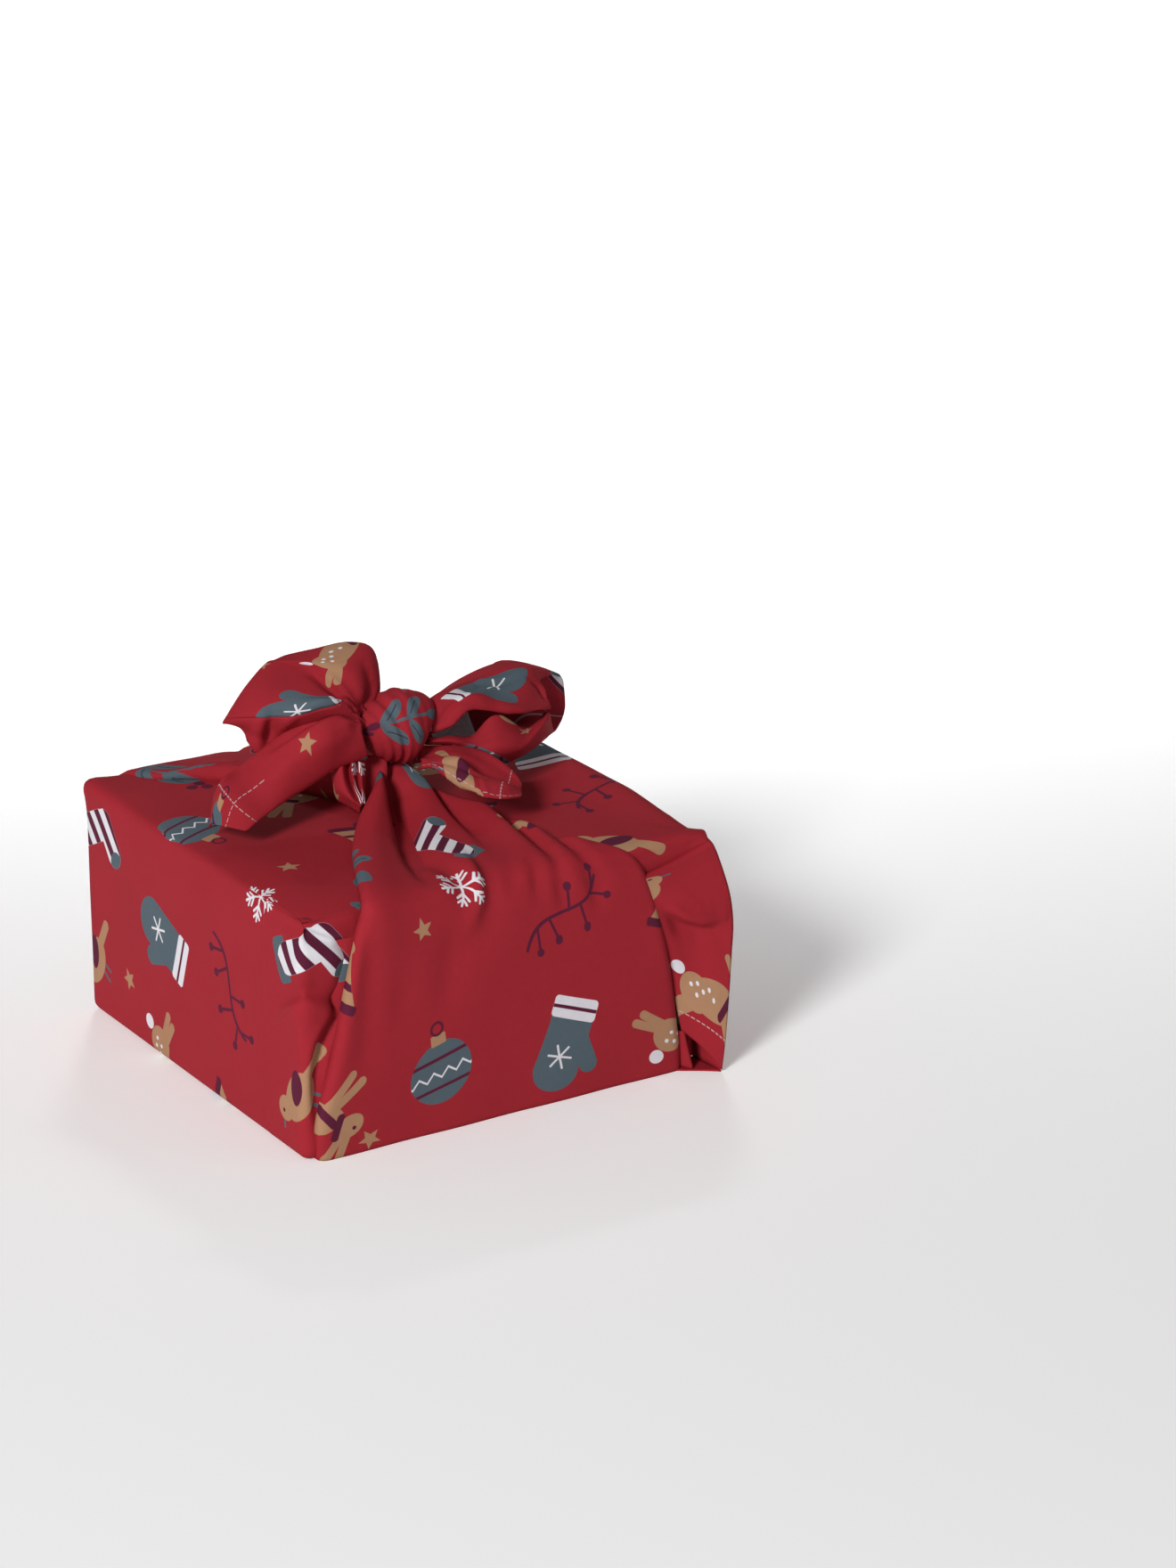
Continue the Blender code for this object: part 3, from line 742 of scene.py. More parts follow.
EAR_HEM_RUN, EAR_HEM_START = 0.06, 0.1  # metres along its hem, and from the square's corner
EAR_CREASES = (
    crease(8, 2, (62, -92, -26, 1.6), (68, -92, -31, 3), (75, -92, -35.5, 3.4),
           (81, -92, -36.5, 2.8), (87.5, -92, -35, 1)),
    ((63, -92, -29.5, 1.4, 8, -1.8), (68, -92, -34.5, 1.4, 8, -3.2), (74, -92, -39, 1.4, 8, -3.4),
     (80, -92, -40.5, 1.4, 8, -3.2), (85.5, -92, -39.5, 1.4, 7, -1.8),
     (89.5, -92, -36.5, 1.6, 6, -0.2)),
    crease(3, 4, (64, -91, -18.5, 0), (69, -91, -27, -1.4), (76, -91, -31, -0.8),
           (83, -91, -31.5, 0)),
    crease(7, 7, (74.5, -92, -46, 0), (79.5, -92, -56.5, -1.4), (80.5, -92, -69, 0)),
)


def ear_plan(across, along):
    """The ear from above: out from beside the fan to the tip, and back along the side."""
    row = read_rows(EAR_ROWS, along)
    z, start, tip, end = row[:, 0], row[:, 1:3], row[:, 3:5], row[:, 5:7]
    z = z - EAR_DROP * np.clip(1 - 2 * across, 0, 1) * (1 - along) ** 3
    part = np.abs(2 * across - 1)[:, None]
    bulge = (1 - part) * part * EAR_BULGE
    side = np.where(across[:, None] < 0.5, start, end)
    plan = tip + (side - tip) * (part - bulge)
    share, inwards = EAR_ROLL
    plan[:, 1] += inwards * np.clip(1 - along / share, 0, 1) ** 2
    return np.column_stack([plan, z])


def ear_place(across, along):
    points = ear_plan(across, along)
    outward = np.tile((0.0, -1.0, 0.0), (len(points), 1))
    first, fade_in, fade_out = EAR_CREASED
    lift = crease_lift(points, outward, EAR_CREASES)
    lift *= ease((0.5 - across) / fade_out) * ease((across - first) / fade_in)
    surface = lifted(points, outward, lift)
    # Its lower edge rises towards the fan, where the hem slants.
    hem = EAR_HEM * np.clip(EAR_HEM_END - 2 * across, 0, 1)
    surface[:, 2] = hem + surface[:, 2] * (HEIGHT - hem) / HEIGHT
    return surface


def ear_hem(across, along):
    """The hem runs along the ear's lower edge."""
    return np.stack([(1 - along) * HEIGHT, across * EAR_HEM_RUN + EAR_HEM_START], axis=-1)


cloth_grid("ear", 44, 52, ear_place, strip_flat(60, -95, (0.22, 0.1)), ear_hem,
           inside_out=True, doubled=True)

# %% [markdown]
# The fold is a pocket.  Below the slanting hem its floor shows, and a second layer of cloth.

# %% Shape the inside of the ear
EAR_FLOOR = (
    ((68, -80, -93.4), (78, -82, -93.4), (86, -80, -93.4)),
    ((72, -86, -93.4), (80, -89, -93.4), (87, -91, -93.4)),
    ((75, -88.5, -93.4), (82, -93, -93.4), (87.3, -97, -93.4)),
)
EAR_LAYER = (
    ((74, -87, -78), (76, -88.5, -78), (79, -86, -78)),
    ((75, -87, -86), (77.5, -89.5, -86), (80, -86, -86)),
    ((76, -87, -93.4), (79, -90.5, -93.4), (81.5, -86, -93.4)),
)
cloth_grid("ear_floor", 10, 8, net_place(EAR_FLOOR), strip_flat(18, 16, (0.3, 0.02)),
           inside_out=True)
cloth_grid("ear_layer", 8, 10, net_place(EAR_LAYER), strip_flat(14, 20, (0.076, 0.096)),
           inside_out=True)

# %% [markdown]
# Above the ear, the cloth of the top goes down over the edge and in behind the ear's upper fold.

# %% Shape the corner flap
FLAP_ROWS = (
    ((34, -50, -0.5), (38, -76, -0.5), (45, -86.5, -1.5), (52, -88, -6), (54, -88, -12),
     (55, -87.5, -18)),
    ((46, -50, -0.5), (50, -76, 0.5), (56, -87, -0.5), (57.5, -87.8, -6), (58.5, -87.2, -12),
     (59, -88, -18)),
    ((58, -52, -0.5), (62, -76, 0.5), (64, -87, 0), (64, -87.8, -6), (64.5, -87.2, -12),
     (65, -88, -18)),
    ((68, -54, -0.5), (72, -76, 0.5), (73, -87, 0), (71.5, -87.8, -5.5), (71.5, -87.4, -11),
     (71.5, -88, -16)),
    ((77, -56, -0.5), (79, -75, -0.5), (80, -87, 0), (78, -88, -4.5), (77.5, -87.6, -9),
     (77.5, -88, -14)),
    ((83.5, -58, -1.5), (84, -74, -2.5), (85, -86, -0.5), (83, -88.6, -3.5), (82.5, -88.2, -7),
     (82, -88, -11)),
    ((85.5, -60, -3), (85.5, -74, -4.5), (87, -84, -1.5), (86, -88.5, -3.5), (85.5, -88.5, -6),
     (85, -87, -9)),
    ((85.5, -64, -5), (86, -76, -5), (87, -83, -5), (87, -87.5, -7), (86.5, -87, -8),
     (86, -86.5, -9)),
)


def flap_flat(across, along):
    """The print goes on over the edge of the top."""
    x, y, z = (read_net(FLAP_ROWS, across, along) * MM).T
    return np.stack([WIDTH + HEIGHT - x, y + np.minimum(z, 0)], axis=-1)


cloth_grid("corner_flap", 40, 44, net_place(FLAP_ROWS), flap_flat)

# %% [markdown]
# ## The bow
#
# The two corners that come up are tied together over the fans: a knot, a loop and a free end to
# each side.  Each loop and end is a ribbon that runs out from the knot, a row of its table for
# each step of the way, with a crown and a few pleats that run along it.  The left loop's rows are
# closed on themselves and flatten at the end, so that it is a puffy bag.

# %% Shape the ribbons
LEFT_LOOP = (
    ((-13, -6, 38), (-12.5, -5, 38.5), (-11, -4, 39), (-8.5, -4, 40), (-3.5, 1, 38.5),
     (-3.5, 5, 35.5), (2, 6, 29), (0, 1, 26), (-2, -5, 28)),
    ((-21, -9, 45.5), (-19, -7, 46), (-16, -3, 44.5), (-10, -3, 46), (1, 5, 45), (2, 11, 41),
     (1, 13, 34), (-4, 6, 26), (-8, -3, 30)),
    ((-29.5, -7, 46), (-26.5, -5, 48.5), (-21.5, 0, 48.5), (-11.5, 1, 54), (1, 10, 57.5),
     (3, 17, 51.5), (0, 21, 42), (-9, 13, 26), (-16, 0, 30)),
    ((-39, -2, 43), (-34, 1, 49), (-24, 8, 53), (-18, 6, 57), (-6, 16, 60), (-3, 23, 53),
     (-11, 29, 40), (-32.5, 10, 26), (-37.5, 3, 35.5)),
    ((-50, 4, 42.5), (-43, 7, 50), (-29.5, 15, 55), (-25.5, 14, 57), (-17.5, 21, 58),
     (-14.5, 27, 52), (-27, 31, 42), (-45.5, 13, 25.5), (-49.5, 8, 35)),
    ((-60, 10, 42), (-49.5, 15, 50), (-38, 20, 56), (-33.5, 21, 56.5), (-27.5, 24, 56.5),
     (-26.5, 26, 54.5), (-36, 23, 53), (-47.5, 18, 47), (-59, 12, 40.5)),
    ((-59.5, 11, 41), (-48.5, 16.5, 48.5), (-37, 21.5, 54.5), (-30, 23.5, 55.5), (-27, 25, 55.5),
     (-27, 25, 55.5), (-37, 21.5, 54.5), (-48.5, 16.5, 48.5), (-59.5, 11, 41)),
)
RIGHT_LOOP = (
    ((14, -9, 26), (14, -9.5, 25.5), (14, -10, 25), (15, -5, 22.5), (15, 1, 24), (15, 3, 30),
     (15, 0, 35), (15, -3, 35), (15, -6, 33.5), (15, -9, 31), (15, -9.5, 28.5), (15, -8, 27)),
    ((23.5, -9, 25), (22.5, -11, 25), (22, -12, 24), (23, -6, 21), (28, 6, 19), (27, 10, 32),
     (24.5, 0, 39.5), (24, -4, 40), (23.5, -7, 39.5), (23.5, -10, 38.5), (22, -13, 31),
     (22, -9, 32)),
    ((32.5, -9, 23.5), (30.5, -12, 23.5), (30.5, -14, 21), (31.5, -7, 17.5), (38, 11, 17),
     (36, 15, 34), (42, 7, 39), (40, 3, 39.5), (35.5, -4, 39.5), (31.5, -11, 40.5),
     (29.5, -13, 35.5), (29.5, -9, 37.5)),
    ((41.5, -11, 30.5), (39.5, -15, 25), (39, -17, 18), (44.5, -8, 10.5), (50, 14, 15),
     (46, 17, 36), (55.5, 9, 41), (52, 3, 39), (47, -4, 37.5), (43, -11, 35.5), (41.5, -13, 33),
     (41.5, -9, 34)),
    ((55.5, -9, 22), (52, -14, 20.5), (50, -16, 17.5), (56, -7, 11.5), (62, 15, 16), (56, 18, 38),
     (68, 10, 39.5), (64.5, 4, 40), (59.5, -3, 36.5), (55, -11, 31.5), (54.5, -12, 30.5),
     (54.5, -7, 30.5)),
    ((64, -6, 23), (61.5, -10, 23), (61, -12, 21.5), (66.5, -4, 14), (70, 14, 20), (64, 18, 38),
     (75.5, 11, 37), (68.5, 4, 37), (65.5, -2, 33.5), (62.5, -9, 30), (62, -10, 29),
     (62, -5, 29)),
    ((69, -3, 24.5), (68.5, -5, 25), (68, -7, 25), (74.5, 0, 15), (84.5, 9, 17), (88.5, 15, 23),
     (86.5, 15, 31), (72, 6, 34.5), (70.5, 0, 32), (68.5, -6, 29.5), (68.5, -7, 27),
     (68.5, -3, 27)),
)
LEFT_END = (
    ((-11.5, -4, 23.5), (-12.5, -9, 23.5), (-15, -12, 32), (-14.5, -10, 36.5), (-14, -7, 38.5),
     (-12.5, -4, 39.5), (-11.5, 0, 35.5)),
    ((-16.5, -3, 23), (-17.5, -9, 23), (-21.5, -13, 33.5), (-21.5, -11, 39), (-19.5, -6, 41),
     (-19, -4, 44), (-18, 0, 40)),
    ((-26, -2, 21.5), (-27, -9, 21.5), (-31, -12, 33), (-30.5, -9, 38.5), (-28.5, -4, 41),
     (-28, 0, 42), (-27, 5, 38)),
    ((-35.5, 0, 18), (-36.5, -8, 17), (-39, -9, 28.5), (-38.5, -5, 34), (-36.5, 0, 36.5),
     (-35.5, 4, 38), (-34.5, 9, 34)),
    ((-43.5, 0, 15), (-44.5, -8, 14), (-47, -7, 23.5), (-46, -2, 28), (-45, 3, 30.5),
     (-43.5, 7, 31), (-42.5, 12, 27)),
    ((-53, -4, 12), (-54, -10, 11), (-56.5, -5, 17), (-57, 1, 20), (-56.5, 6, 21.5),
     (-56, 9, 22.5), (-55, 14, 18.5)),
    ((-60, -8, 10), (-61, -12, 9), (-65, -6, 13.5), (-65.5, 0, 16), (-66, 4, 18), (-66, 6, 19),
     (-66, 9, 15)),
    ((-66, -11, 7), (-66, -13, 6.5), (-70, -8, 7), (-72, -4, 7), (-72.5, -1, 6.5),
     (-72.5, 1, 6.5), (-72.5, 3, 4.5)),
)
RIGHT_END = (
    ((10, -6, 16), (11, -6, 22), (10.5, -8, 20), (10, -9, 18.5), (9.5, -11, 19), (9, -12, 18),
     (8.5, -12, 16.5), (8.5, -10, 15)),
    ((20, -5, 16.5), (19, -8, 21.5), (17.5, -11, 21), (15, -14, 20), (13, -16, 20),
     (11.5, -18, 20), (10.5, -19, 18), (11.5, -15, 17)),
    ((27.5, -7, 14.5), (26.5, -10, 20.5), (23.5, -15, 21), (19.5, -20, 19.5), (18, -24, 22),
     (14.5, -28, 20), (11.5, -30, 16), (12.5, -25, 16)),
    ((34.5, -13, 13), (33.5, -16, 19), (30.5, -20, 17), (25.5, -26, 14), (20, -31, 18.5),
     (16, -36, 17.5), (14, -38, 15), (15, -33, 15)),
    ((39, -19, 9.5), (38, -22, 15.5), (35.5, -25, 13.5), (30.5, -31, 12), (23.5, -37, 16.5),
     (20, -42, 15), (18, -44, 13), (19, -39, 13)),
    ((41.5, -24, 6), (40.5, -27, 12), (38, -30, 11), (34.5, -34, 10.5), (29, -41, 14.5),
     (25.5, -45, 13.5), (24, -47, 12), (25, -42, 12)),
    ((39.5, -31, 7), (39.5, -33, 10), (38.5, -35, 10), (37, -37, 10), (34.5, -41, 11),
     (33, -44, 11), (31.5, -46, 11), (31.5, -43, 11)),
)
for name, net in (("left loop", LEFT_LOOP), ("left end", LEFT_END),
                  ("right loop", RIGHT_LOOP), ("right end", RIGHT_END)):
    print(f"{name}: {len(net)} rows of {len(net[0])} points")

# %% [markdown]
# The creases of the bow gather at the knot, and each fades along its ribbon.

# %% Crease the ribbons
LEFT_LOOP_CREASES = (
    crease(2.5, 1.3, (-16.5, -7.5, 43, -2.2), (-21.5, -8.5, 47.5, -2.8), (-20.5, -1, 48, -2.4),
           (-22.5, 2.5, 51, -2), (-24.5, 8, 53, -1.2), (-28.5, 10.5, 54, 0)),
    crease(1.5, 3, (-13.5, -4, 42.5, 1.2), (-16.5, -2.5, 46.5, 1.8), (-19.5, 0.5, 50.5, 1.6),
           (-21.5, 5.5, 53.5, 1.2), (-23, 9, 55.5, 0)),
    crease(2, 2, (-12, -4, 42.5, -1.6), (-14.5, -3, 46.5, -1.6), (-17, -1, 50.5, -1.2),
           (-19, 3, 53.5, -0.8), (-20.5, 6, 56.5, 0)),
    crease(4, 1.5, (-8.5, -4, 41.5, -3), (-5, -1, 44.5, -3.4), (-3.5, 1, 47.5, -3),
           (-4, 2, 51, -2.2), (-5, 3, 55, -1.2), (-4, 6.5, 58, 0)),
    crease(3, 7, (-19, -8.5, 44.5, 1.2), (-25, -9, 47, 1.4), (-31.5, -7, 47, 1.2),
           (-37, -2.5, 46, 1.2), (-45, 2.5, 46, 0.8), (-52.5, 8.5, 46.5, 0)),
    crease(2.5, 5, (-20.5, -9.5, 46, -1.2), (-24.5, -9, 48, -1.4), (-28, -5.5, 49, -1),
           (-33, -0.5, 49, -0.6), (-40, 3.5, 49.5, 0)),
    crease(1.5, 3, (-48.5, 3, 42, 1.6), (-49, 5.5, 37, 2), (-48, 8, 31.5, 2),
           (-47.5, 8.5, 28, 1)),
    crease(1.5, 1.5, (-47.5, 2.5, 40.5, -1.6), (-46.5, 5.5, 35.5, -2), (-46, 7, 31, -1.6)),
    crease(2, 2, (-40, -2, 42, 1.2), (-41.5, 1.5, 38.5, 1.2), (-42.5, 5, 34, 0.8)),
)
LEFT_END_CREASES = (
    crease(0.9, 2.5, (-16, -7.5, 39.5, -1.6), (-19.5, -7.5, 41, -2), (-23, -5.5, 41.5, -2.2),
           (-27, -5.5, 41.5, -2.2), (-32.5, -5, 39.5, -2.2), (-37.5, -3, 36, -2),
           (-42, -1, 33, -1.6), (-45.5, 1, 30.5, -0.6)),
    crease(4, 1, (-17, -9.5, 39, 0.6), (-21, -9.5, 40, 1), (-24, -7.5, 41, 1),
           (-27.5, -7.5, 40.5, 1), (-33, -7, 38.5, 1), (-38, -4.5, 35.5, 1), (-42, -2.5, 32, 0.8),
           (-45.5, -0.5, 29.5, 0.3)),
    crease(6, 6, (-18, -12.5, 35, -1.6), (-20, -13, 32, -2), (-22.5, -12, 28.5, -1)),
    crease(3, 3, (-17.5, -11, 37.5, -0.9), (-24, -12.5, 37.5, -0.9), (-29.5, -12.5, 35.5, 0)),
    crease(8, 8, (-27, -13, 35, 0), (-36, -10, 33, 0.9), (-45, -6.5, 27.5, 0.9),
           (-52, -4, 22, 0)),
)
RIGHT_LOOP_CREASES = (
    crease(3, 1.4, (19, -11, 33.5, -1.2), (22, -10.5, 37.5, -1.6), (25.5, -11, 39, -1.6),
           (29.5, -12.5, 39, -1.2), (34.5, -13, 37, 0)),
    crease(3, 1.3, (34.5, -6.5, 40.5, -0.8), (42, 0, 39.5, -1.8), (48.5, -0.5, 38.5, -2),
           (55, -1, 38.5, -1.8), (62.5, 1, 39, -0.6)),
    crease(1.2, 3, (38, -0.5, 40, 0.6), (44, 3, 39.5, 1.4), (50.5, 2.5, 39.5, 1.6),
           (56.5, 2, 39.5, 1.2), (63.5, 3.5, 40.5, 0.4)),
    crease(1.3, 2, (64.5, 0.5, 38, -1), (68, 0, 34, -1.6), (68, -4.5, 31.5, -1)),
    crease(3, 3, (41, -12.5, 35.5, 0), (46, -13, 33, 1), (52, -13, 31.5, 1), (59, -11, 30.5, 0)),
    crease(4, 2, (24, -12.5, 23, 0), (30.5, -14, 22.5, -1), (36.5, -15.5, 24.5, -1.2),
           (44, -14.5, 25.5, 0)),
    crease(2, 4, (32.5, -15.5, 20.5, 0), (38, -17.5, 20.5, 0.9), (45, -17, 21, 1),
           (55.5, -10.5, 22, 0)),
)
RIGHT_END_CREASES = (
    crease(2, 1.2, (10.5, -16, 20, -0.8), (14, -25.5, 20.5, -1.2), (16.5, -31.5, 20, -1.2),
           (20.5, -36, 18, -1), (24.5, -39.5, 16.5, 0)),
    crease(2, 2, (15.5, -14.5, 20.5, 0.8), (21, -18, 20.5, 0.8), (27, -20.5, 17.5, 0.6),
           (32, -25.5, 14, 0)),
    crease(1, 1, (19.5, -36.5, 18, 0.8), (18.5, -40, 16, 0.9), (17.5, -44, 14, 0.8)),
    crease(0.8, 0.8, (19, -36.5, 18, -0.8), (18, -40, 16.5, -0.9), (17, -43.5, 14, -0.8)),
    crease(2.5, 2.5, (12, -29, 18, 0), (13.5, -35, 17, 0.8), (15.5, -39.5, 16, 0)),
)
print("creases of the bow:", sum(map(len, (LEFT_LOOP_CREASES, LEFT_END_CREASES,
                                           RIGHT_LOOP_CREASES, RIGHT_END_CREASES))))

# %% [markdown]
# The cloth of the bow is rolled double, so both sides of a ribbon show the print.  Each free end
# has its hem and its stitches: the hem runs across its tip and along one of its sides.

# %% Hem and hang the ribbons
RIBBON = {"thickness": 0.8 * MM, "offset": 0, "doubled": True}
RIGHT_LOOP_GRID = (84, 52)


def ribbon_hem(tip, width, edge, sewn=1):
    """How far from the tip of a ribbon, and from the edge that runs along it.  A length of the
    ribbon or None is given for the tip, and the edge is a share of the way across.  Only the
    share sewn of the length shows the edge: before it the edge is rolled in."""

    def hem(across, along):
        from_tip = FAR_FROM_HEM + along if tip is None else (1 - along) * tip * MM
        from_edge = np.abs(edge - across) * width * MM
        beyond = ((edge - across) * (0.5 - edge) > 0) | (along < 1 - sewn)
        return np.stack([from_tip, np.where(beyond, FAR_FROM_HEM + along, from_edge)], axis=-1)

    return hem


cloth_grid("left_loop", 78, 56, net_place(LEFT_LOOP, LEFT_LOOP_CREASES, closed=True),
           strip_flat(150, 70, (0.02, 0.31)), **RIBBON)
cloth_grid("left_end", 44, 54, net_place(LEFT_END, LEFT_END_CREASES),
           strip_flat(48, 82, (0.10, 0.41)), ribbon_hem(82, 60, 0.2, 0.36), **RIBBON)
right_loop = cloth_grid("right_loop", *RIGHT_LOOP_GRID, net_place(RIGHT_LOOP, RIGHT_LOOP_CREASES),
                        strip_flat(120, 70, (-0.06, -0.33)), ribbon_hem(None, 120, 0.26),
                        **RIBBON)
cloth_grid("right_end", 46, 44, net_place(RIGHT_END, RIGHT_END_CREASES),
           strip_flat(46, 50, (0.02, -0.42)), ribbon_hem(50, 60, 0.98), **RIBBON)

# %% [markdown]
# Inside the right loop a corner of the reverse shows.  Solidify lists the faces of the sheet's
# second side after those of the first, in the same order, so that part is found by its cells.

# %% Show a corner of the reverse
def show_reverse(piece, grid, columns, steps):
    """Shows the reverse on part of the second side of a sheet, given in cells of its grid."""
    columns_in_all, steps_in_all = grid
    second_side = columns_in_all * steps_in_all
    for step in range(*steps):
        for column in range(*columns):
            cell = second_side + step * columns_in_all + column
            piece.data.polygons[cell].material_index = 1


show_reverse(right_loop, RIGHT_LOOP_GRID, (27, 35), (5, 24))
print("reverse shown on", sum(face.material_index for face in right_loop.data.polygons), "faces")

# %% [markdown]
# ## The knot
#
# The knot is a band of cloth drawn tight round the two corners.  It goes over the top, so its
# pleats run up and down.  A sphere is drawn out to a short drum and pinched below.  The wide part
# of the band at the right laps over the narrow part at the left, where the pleats are closest.

# %% Shape the knot
KNOT_CENTRE = (3.2, -3, 30.8)
KNOT_HALF = (16.5, 13, 14.4)
KNOT_PINCH = (0.25, 0.5)  # how much narrower it is below, to the left and to the right
KNOT_DRUM, KNOT_TAPER = 0.6, 1.2  # powers: how full its middle is, and how its ends close
KNOT_SLANT = 0.2
KNOT_PRINT, KNOT_PRINT_SIZE = (0.048, 0.073), (0.014, 0.018)  # metres of the flat square
KNOT_LAP = (-0.26, 0.1, 0.1)  # where the wide part laps the narrow one, over what run, how thick
KNOT_RIDGES = (
    # along the knot from -1 to 1, half width, height
    (-0.84, 0.08, -0.05),
    (-0.70, 0.08, 0.04),
    (-0.58, 0.07, -0.05),
    (-0.44, 0.08, 0.04),
    (-0.30, 0.07, -0.05),
    (0.06, 0.16, -0.02),
    (0.30, 0.16, 0.03),
    (0.54, 0.09, -0.025),
    (0.78, 0.09, -0.025),
)


def knot_shape(around, z):
    """A unit sphere's points made a pleated drum, which lies along x."""
    girth = np.sqrt(np.maximum(1 - z**2, 0)) ** KNOT_DRUM
    slant = z + KNOT_SLANT * np.sin(around)
    for place, half_width, height in KNOT_RIDGES:
        girth = girth * (1 + height * bump(slant - place, half_width))
    lap, run, thick = KNOT_LAP
    girth = girth * (1 - thick * (1 - ease((slant - lap) / run)))
    below = (1 - np.sin(around)) / 2
    ends = np.sign(z) * np.abs(z) ** KNOT_TAPER * (1 - np.where(z < 0, *KNOT_PINCH) * below)
    return np.stack([ends, girth * np.cos(around), girth * np.sin(around)], axis=-1)


def add_knot():
    sphere = bpy.ops.mesh.primitive_uv_sphere_add
    piece = add_piece("knot", sphere, segments=44, ring_count=58, radius=1)
    x, y, z = points_of(piece.data).T
    around = np.arctan2(y, x)
    points = from_top(*(knot_shape(around, z) * KNOT_HALF + KNOT_CENTRE).T)
    turned = (around + np.pi / 2) % (2 * np.pi)  # the print meets itself below
    flat = [at + way * size
            for at, way, size in zip(KNOT_PRINT, (turned, z), KNOT_PRINT_SIZE)]
    lay_out(piece.data, points, np.stack(flat, axis=-1))
    edit_all(bpy.ops.mesh.normals_make_consistent, inside=False)
    return finish_sheet(piece)


add_knot()

# %% [markdown]
# ## One piece of cloth
#
# The real wrap is one square, so its folds are joined into one object.

# %% Join the folds
def join_sheets():
    bpy.ops.object.select_all(action="DESELECT")
    for piece in sheets:
        piece.select_set(True)
    bpy.context.view_layer.objects.active = parcel
    bpy.ops.object.join()
    parcel.name = "cotton_square"
    return parcel


cloth = join_sheets()
print("triangles:", sum(len(face.vertices) - 2 for face in cloth.data.polygons))

# %% [markdown]
# ## Shader maths as Python
#
# The print is drawn by the shader itself.  Each of its nodes would take several lines of Python,
# so one small class wraps a socket: its operators add the Math nodes, or the Vector Math nodes
# where the socket holds a vector, and one method makes every other node.

# %% Wrap a socket
class Shade:
    """A socket of a material's node tree."""

    tree = None  # of the material that is being made

    def __init__(self, socket):
        self.socket = socket

    @classmethod
    def node(cls, kind, settings=(), inputs=(), output=0):
        made = cls.tree.nodes.new(kind)
        for setting, value in dict(settings).items():
            setattr(made, setting, value)
        for place, value in dict(inputs).items():
            if isinstance(value, Shade):
                cls.tree.links.new(value.socket, made.inputs[place])
            else:
                made.inputs[place].default_value = value
        return cls(made.outputs[output])

    def maths(self, operation, *others, turned=False, clamp=False):
        operands = (*others, self) if turned else (self, *others)
        if any(isinstance(one, Shade) and one.socket.type == "VECTOR" for one in operands):
            operands = [(one,) * 3 if isinstance(one, (int, float)) else one for one in operands]
            return self.node("ShaderNodeVectorMath", {"operation": operation}, enumerate(operands))
        settings = {"operation": operation, "use_clamp": clamp}
        return self.node("ShaderNodeMath", settings, enumerate(operands))

    def __add__(self, other):
        return self.maths("ADD", other)

    def __sub__(self, other):
        return self.maths("SUBTRACT", other)

    def __rsub__(self, other):
        return self.maths("SUBTRACT", other, turned=True)

    def __mul__(self, other):
        return self.maths("MULTIPLY", other)

    def __truediv__(self, other):
        return self.maths("DIVIDE", other)

    def __abs__(self):
        return self.maths("ABSOLUTE")

    __radd__, __rmul__ = __add__, __mul__

    def length(self):
        return self.node("ShaderNodeVectorMath", {"operation": "LENGTH"}, {0: self}, "Value")

    def dot(self, other):
        settings = {"operation": "DOT_PRODUCT"}
        return self.node("ShaderNodeVectorMath", settings, {0: self, 1: other}, "Value")

    def scaled(self, other):
        settings = {"operation": "SCALE"}
        return self.node("ShaderNodeVectorMath", settings, {0: other, "Scale": self})

    def turned(self, degrees):
        turn = {"rotation_type": "Z_AXIS"}
        return self.node("ShaderNodeVectorRotate", turn,
                         {"Vector": self, "Angle": -np.radians(degrees)})

    def split(self):
        """The x and y of a vector."""
        return [self.node("ShaderNodeSeparateXYZ", (), {0: self}, axis) for axis in (0, 1)]


print("methods of a socket:", *(name for name in vars(Shade) if "_" not in name))


# %% [markdown]
# ## Shapes for the print
#
# Each shape is a distance, in millimetres of flat cloth: less than 0 inside, more outside.  A
# distance makes an edge as sharp at any size, and shapes join by taking the nearest.

# %% Draw with distances
def nearest(*distances):
    """The distance to the nearest of several shapes, which draws them all."""
    return reduce(lambda found, distance: found.maths("MINIMUM", distance), distances)


def within(*distances):
    """Where all of several shapes overlap."""
    return reduce(lambda found, distance: found.maths("MAXIMUM", distance), distances)


def disc(place, centre, radius):
    return (place - (*centre, 0)).length() - radius


def ring(place, centre, radius, line):
    return abs(disc(place, centre, radius)) - line


def oval(place, centre, radii, degrees=0):
    local = (place - (*centre, 0)).turned(degrees)
    return ((local / (*radii, 1)).length() - 1) * min(radii)


def bar(place, start, end, radius):
    """A straight stroke with round ends."""
    start, run = np.array([*start, 0.0]), np.array([*end, 0.0]) - (*start, 0.0)
    local = place - tuple(start)
    share = local.dot(tuple(run / (run @ run))).maths("MAXIMUM", 0).maths("MINIMUM", 1)
    return (local - share.scaled(tuple(run))).length() - radius


def block(place, centre, half, rounding):
    beyond = abs(place - (*centre, 0)) - (*half, 1)
    return beyond.maths("MAXIMUM", 0).length() - rounding


def strokes(place, lines, radius):
    return nearest(*(bar(place, line[:2], line[2:], radius) for line in lines))


def fold_around(place, arms):
    """Turns every arm of a star onto the first, so that one arm draws them all."""
    x, y = place.split()
    angle = y.maths("ARCTAN2", x).maths("PINGPONG", np.pi / arms)
    away = place.length()
    across, up = away * angle.maths("COSINE"), away * angle.maths("SINE")
    return Shade.node("ShaderNodeCombineXYZ", (), {0: across, 1: up})


print("shapes to draw with:", *(shape.__name__ for shape in (disc, ring, oval, bar, block)))

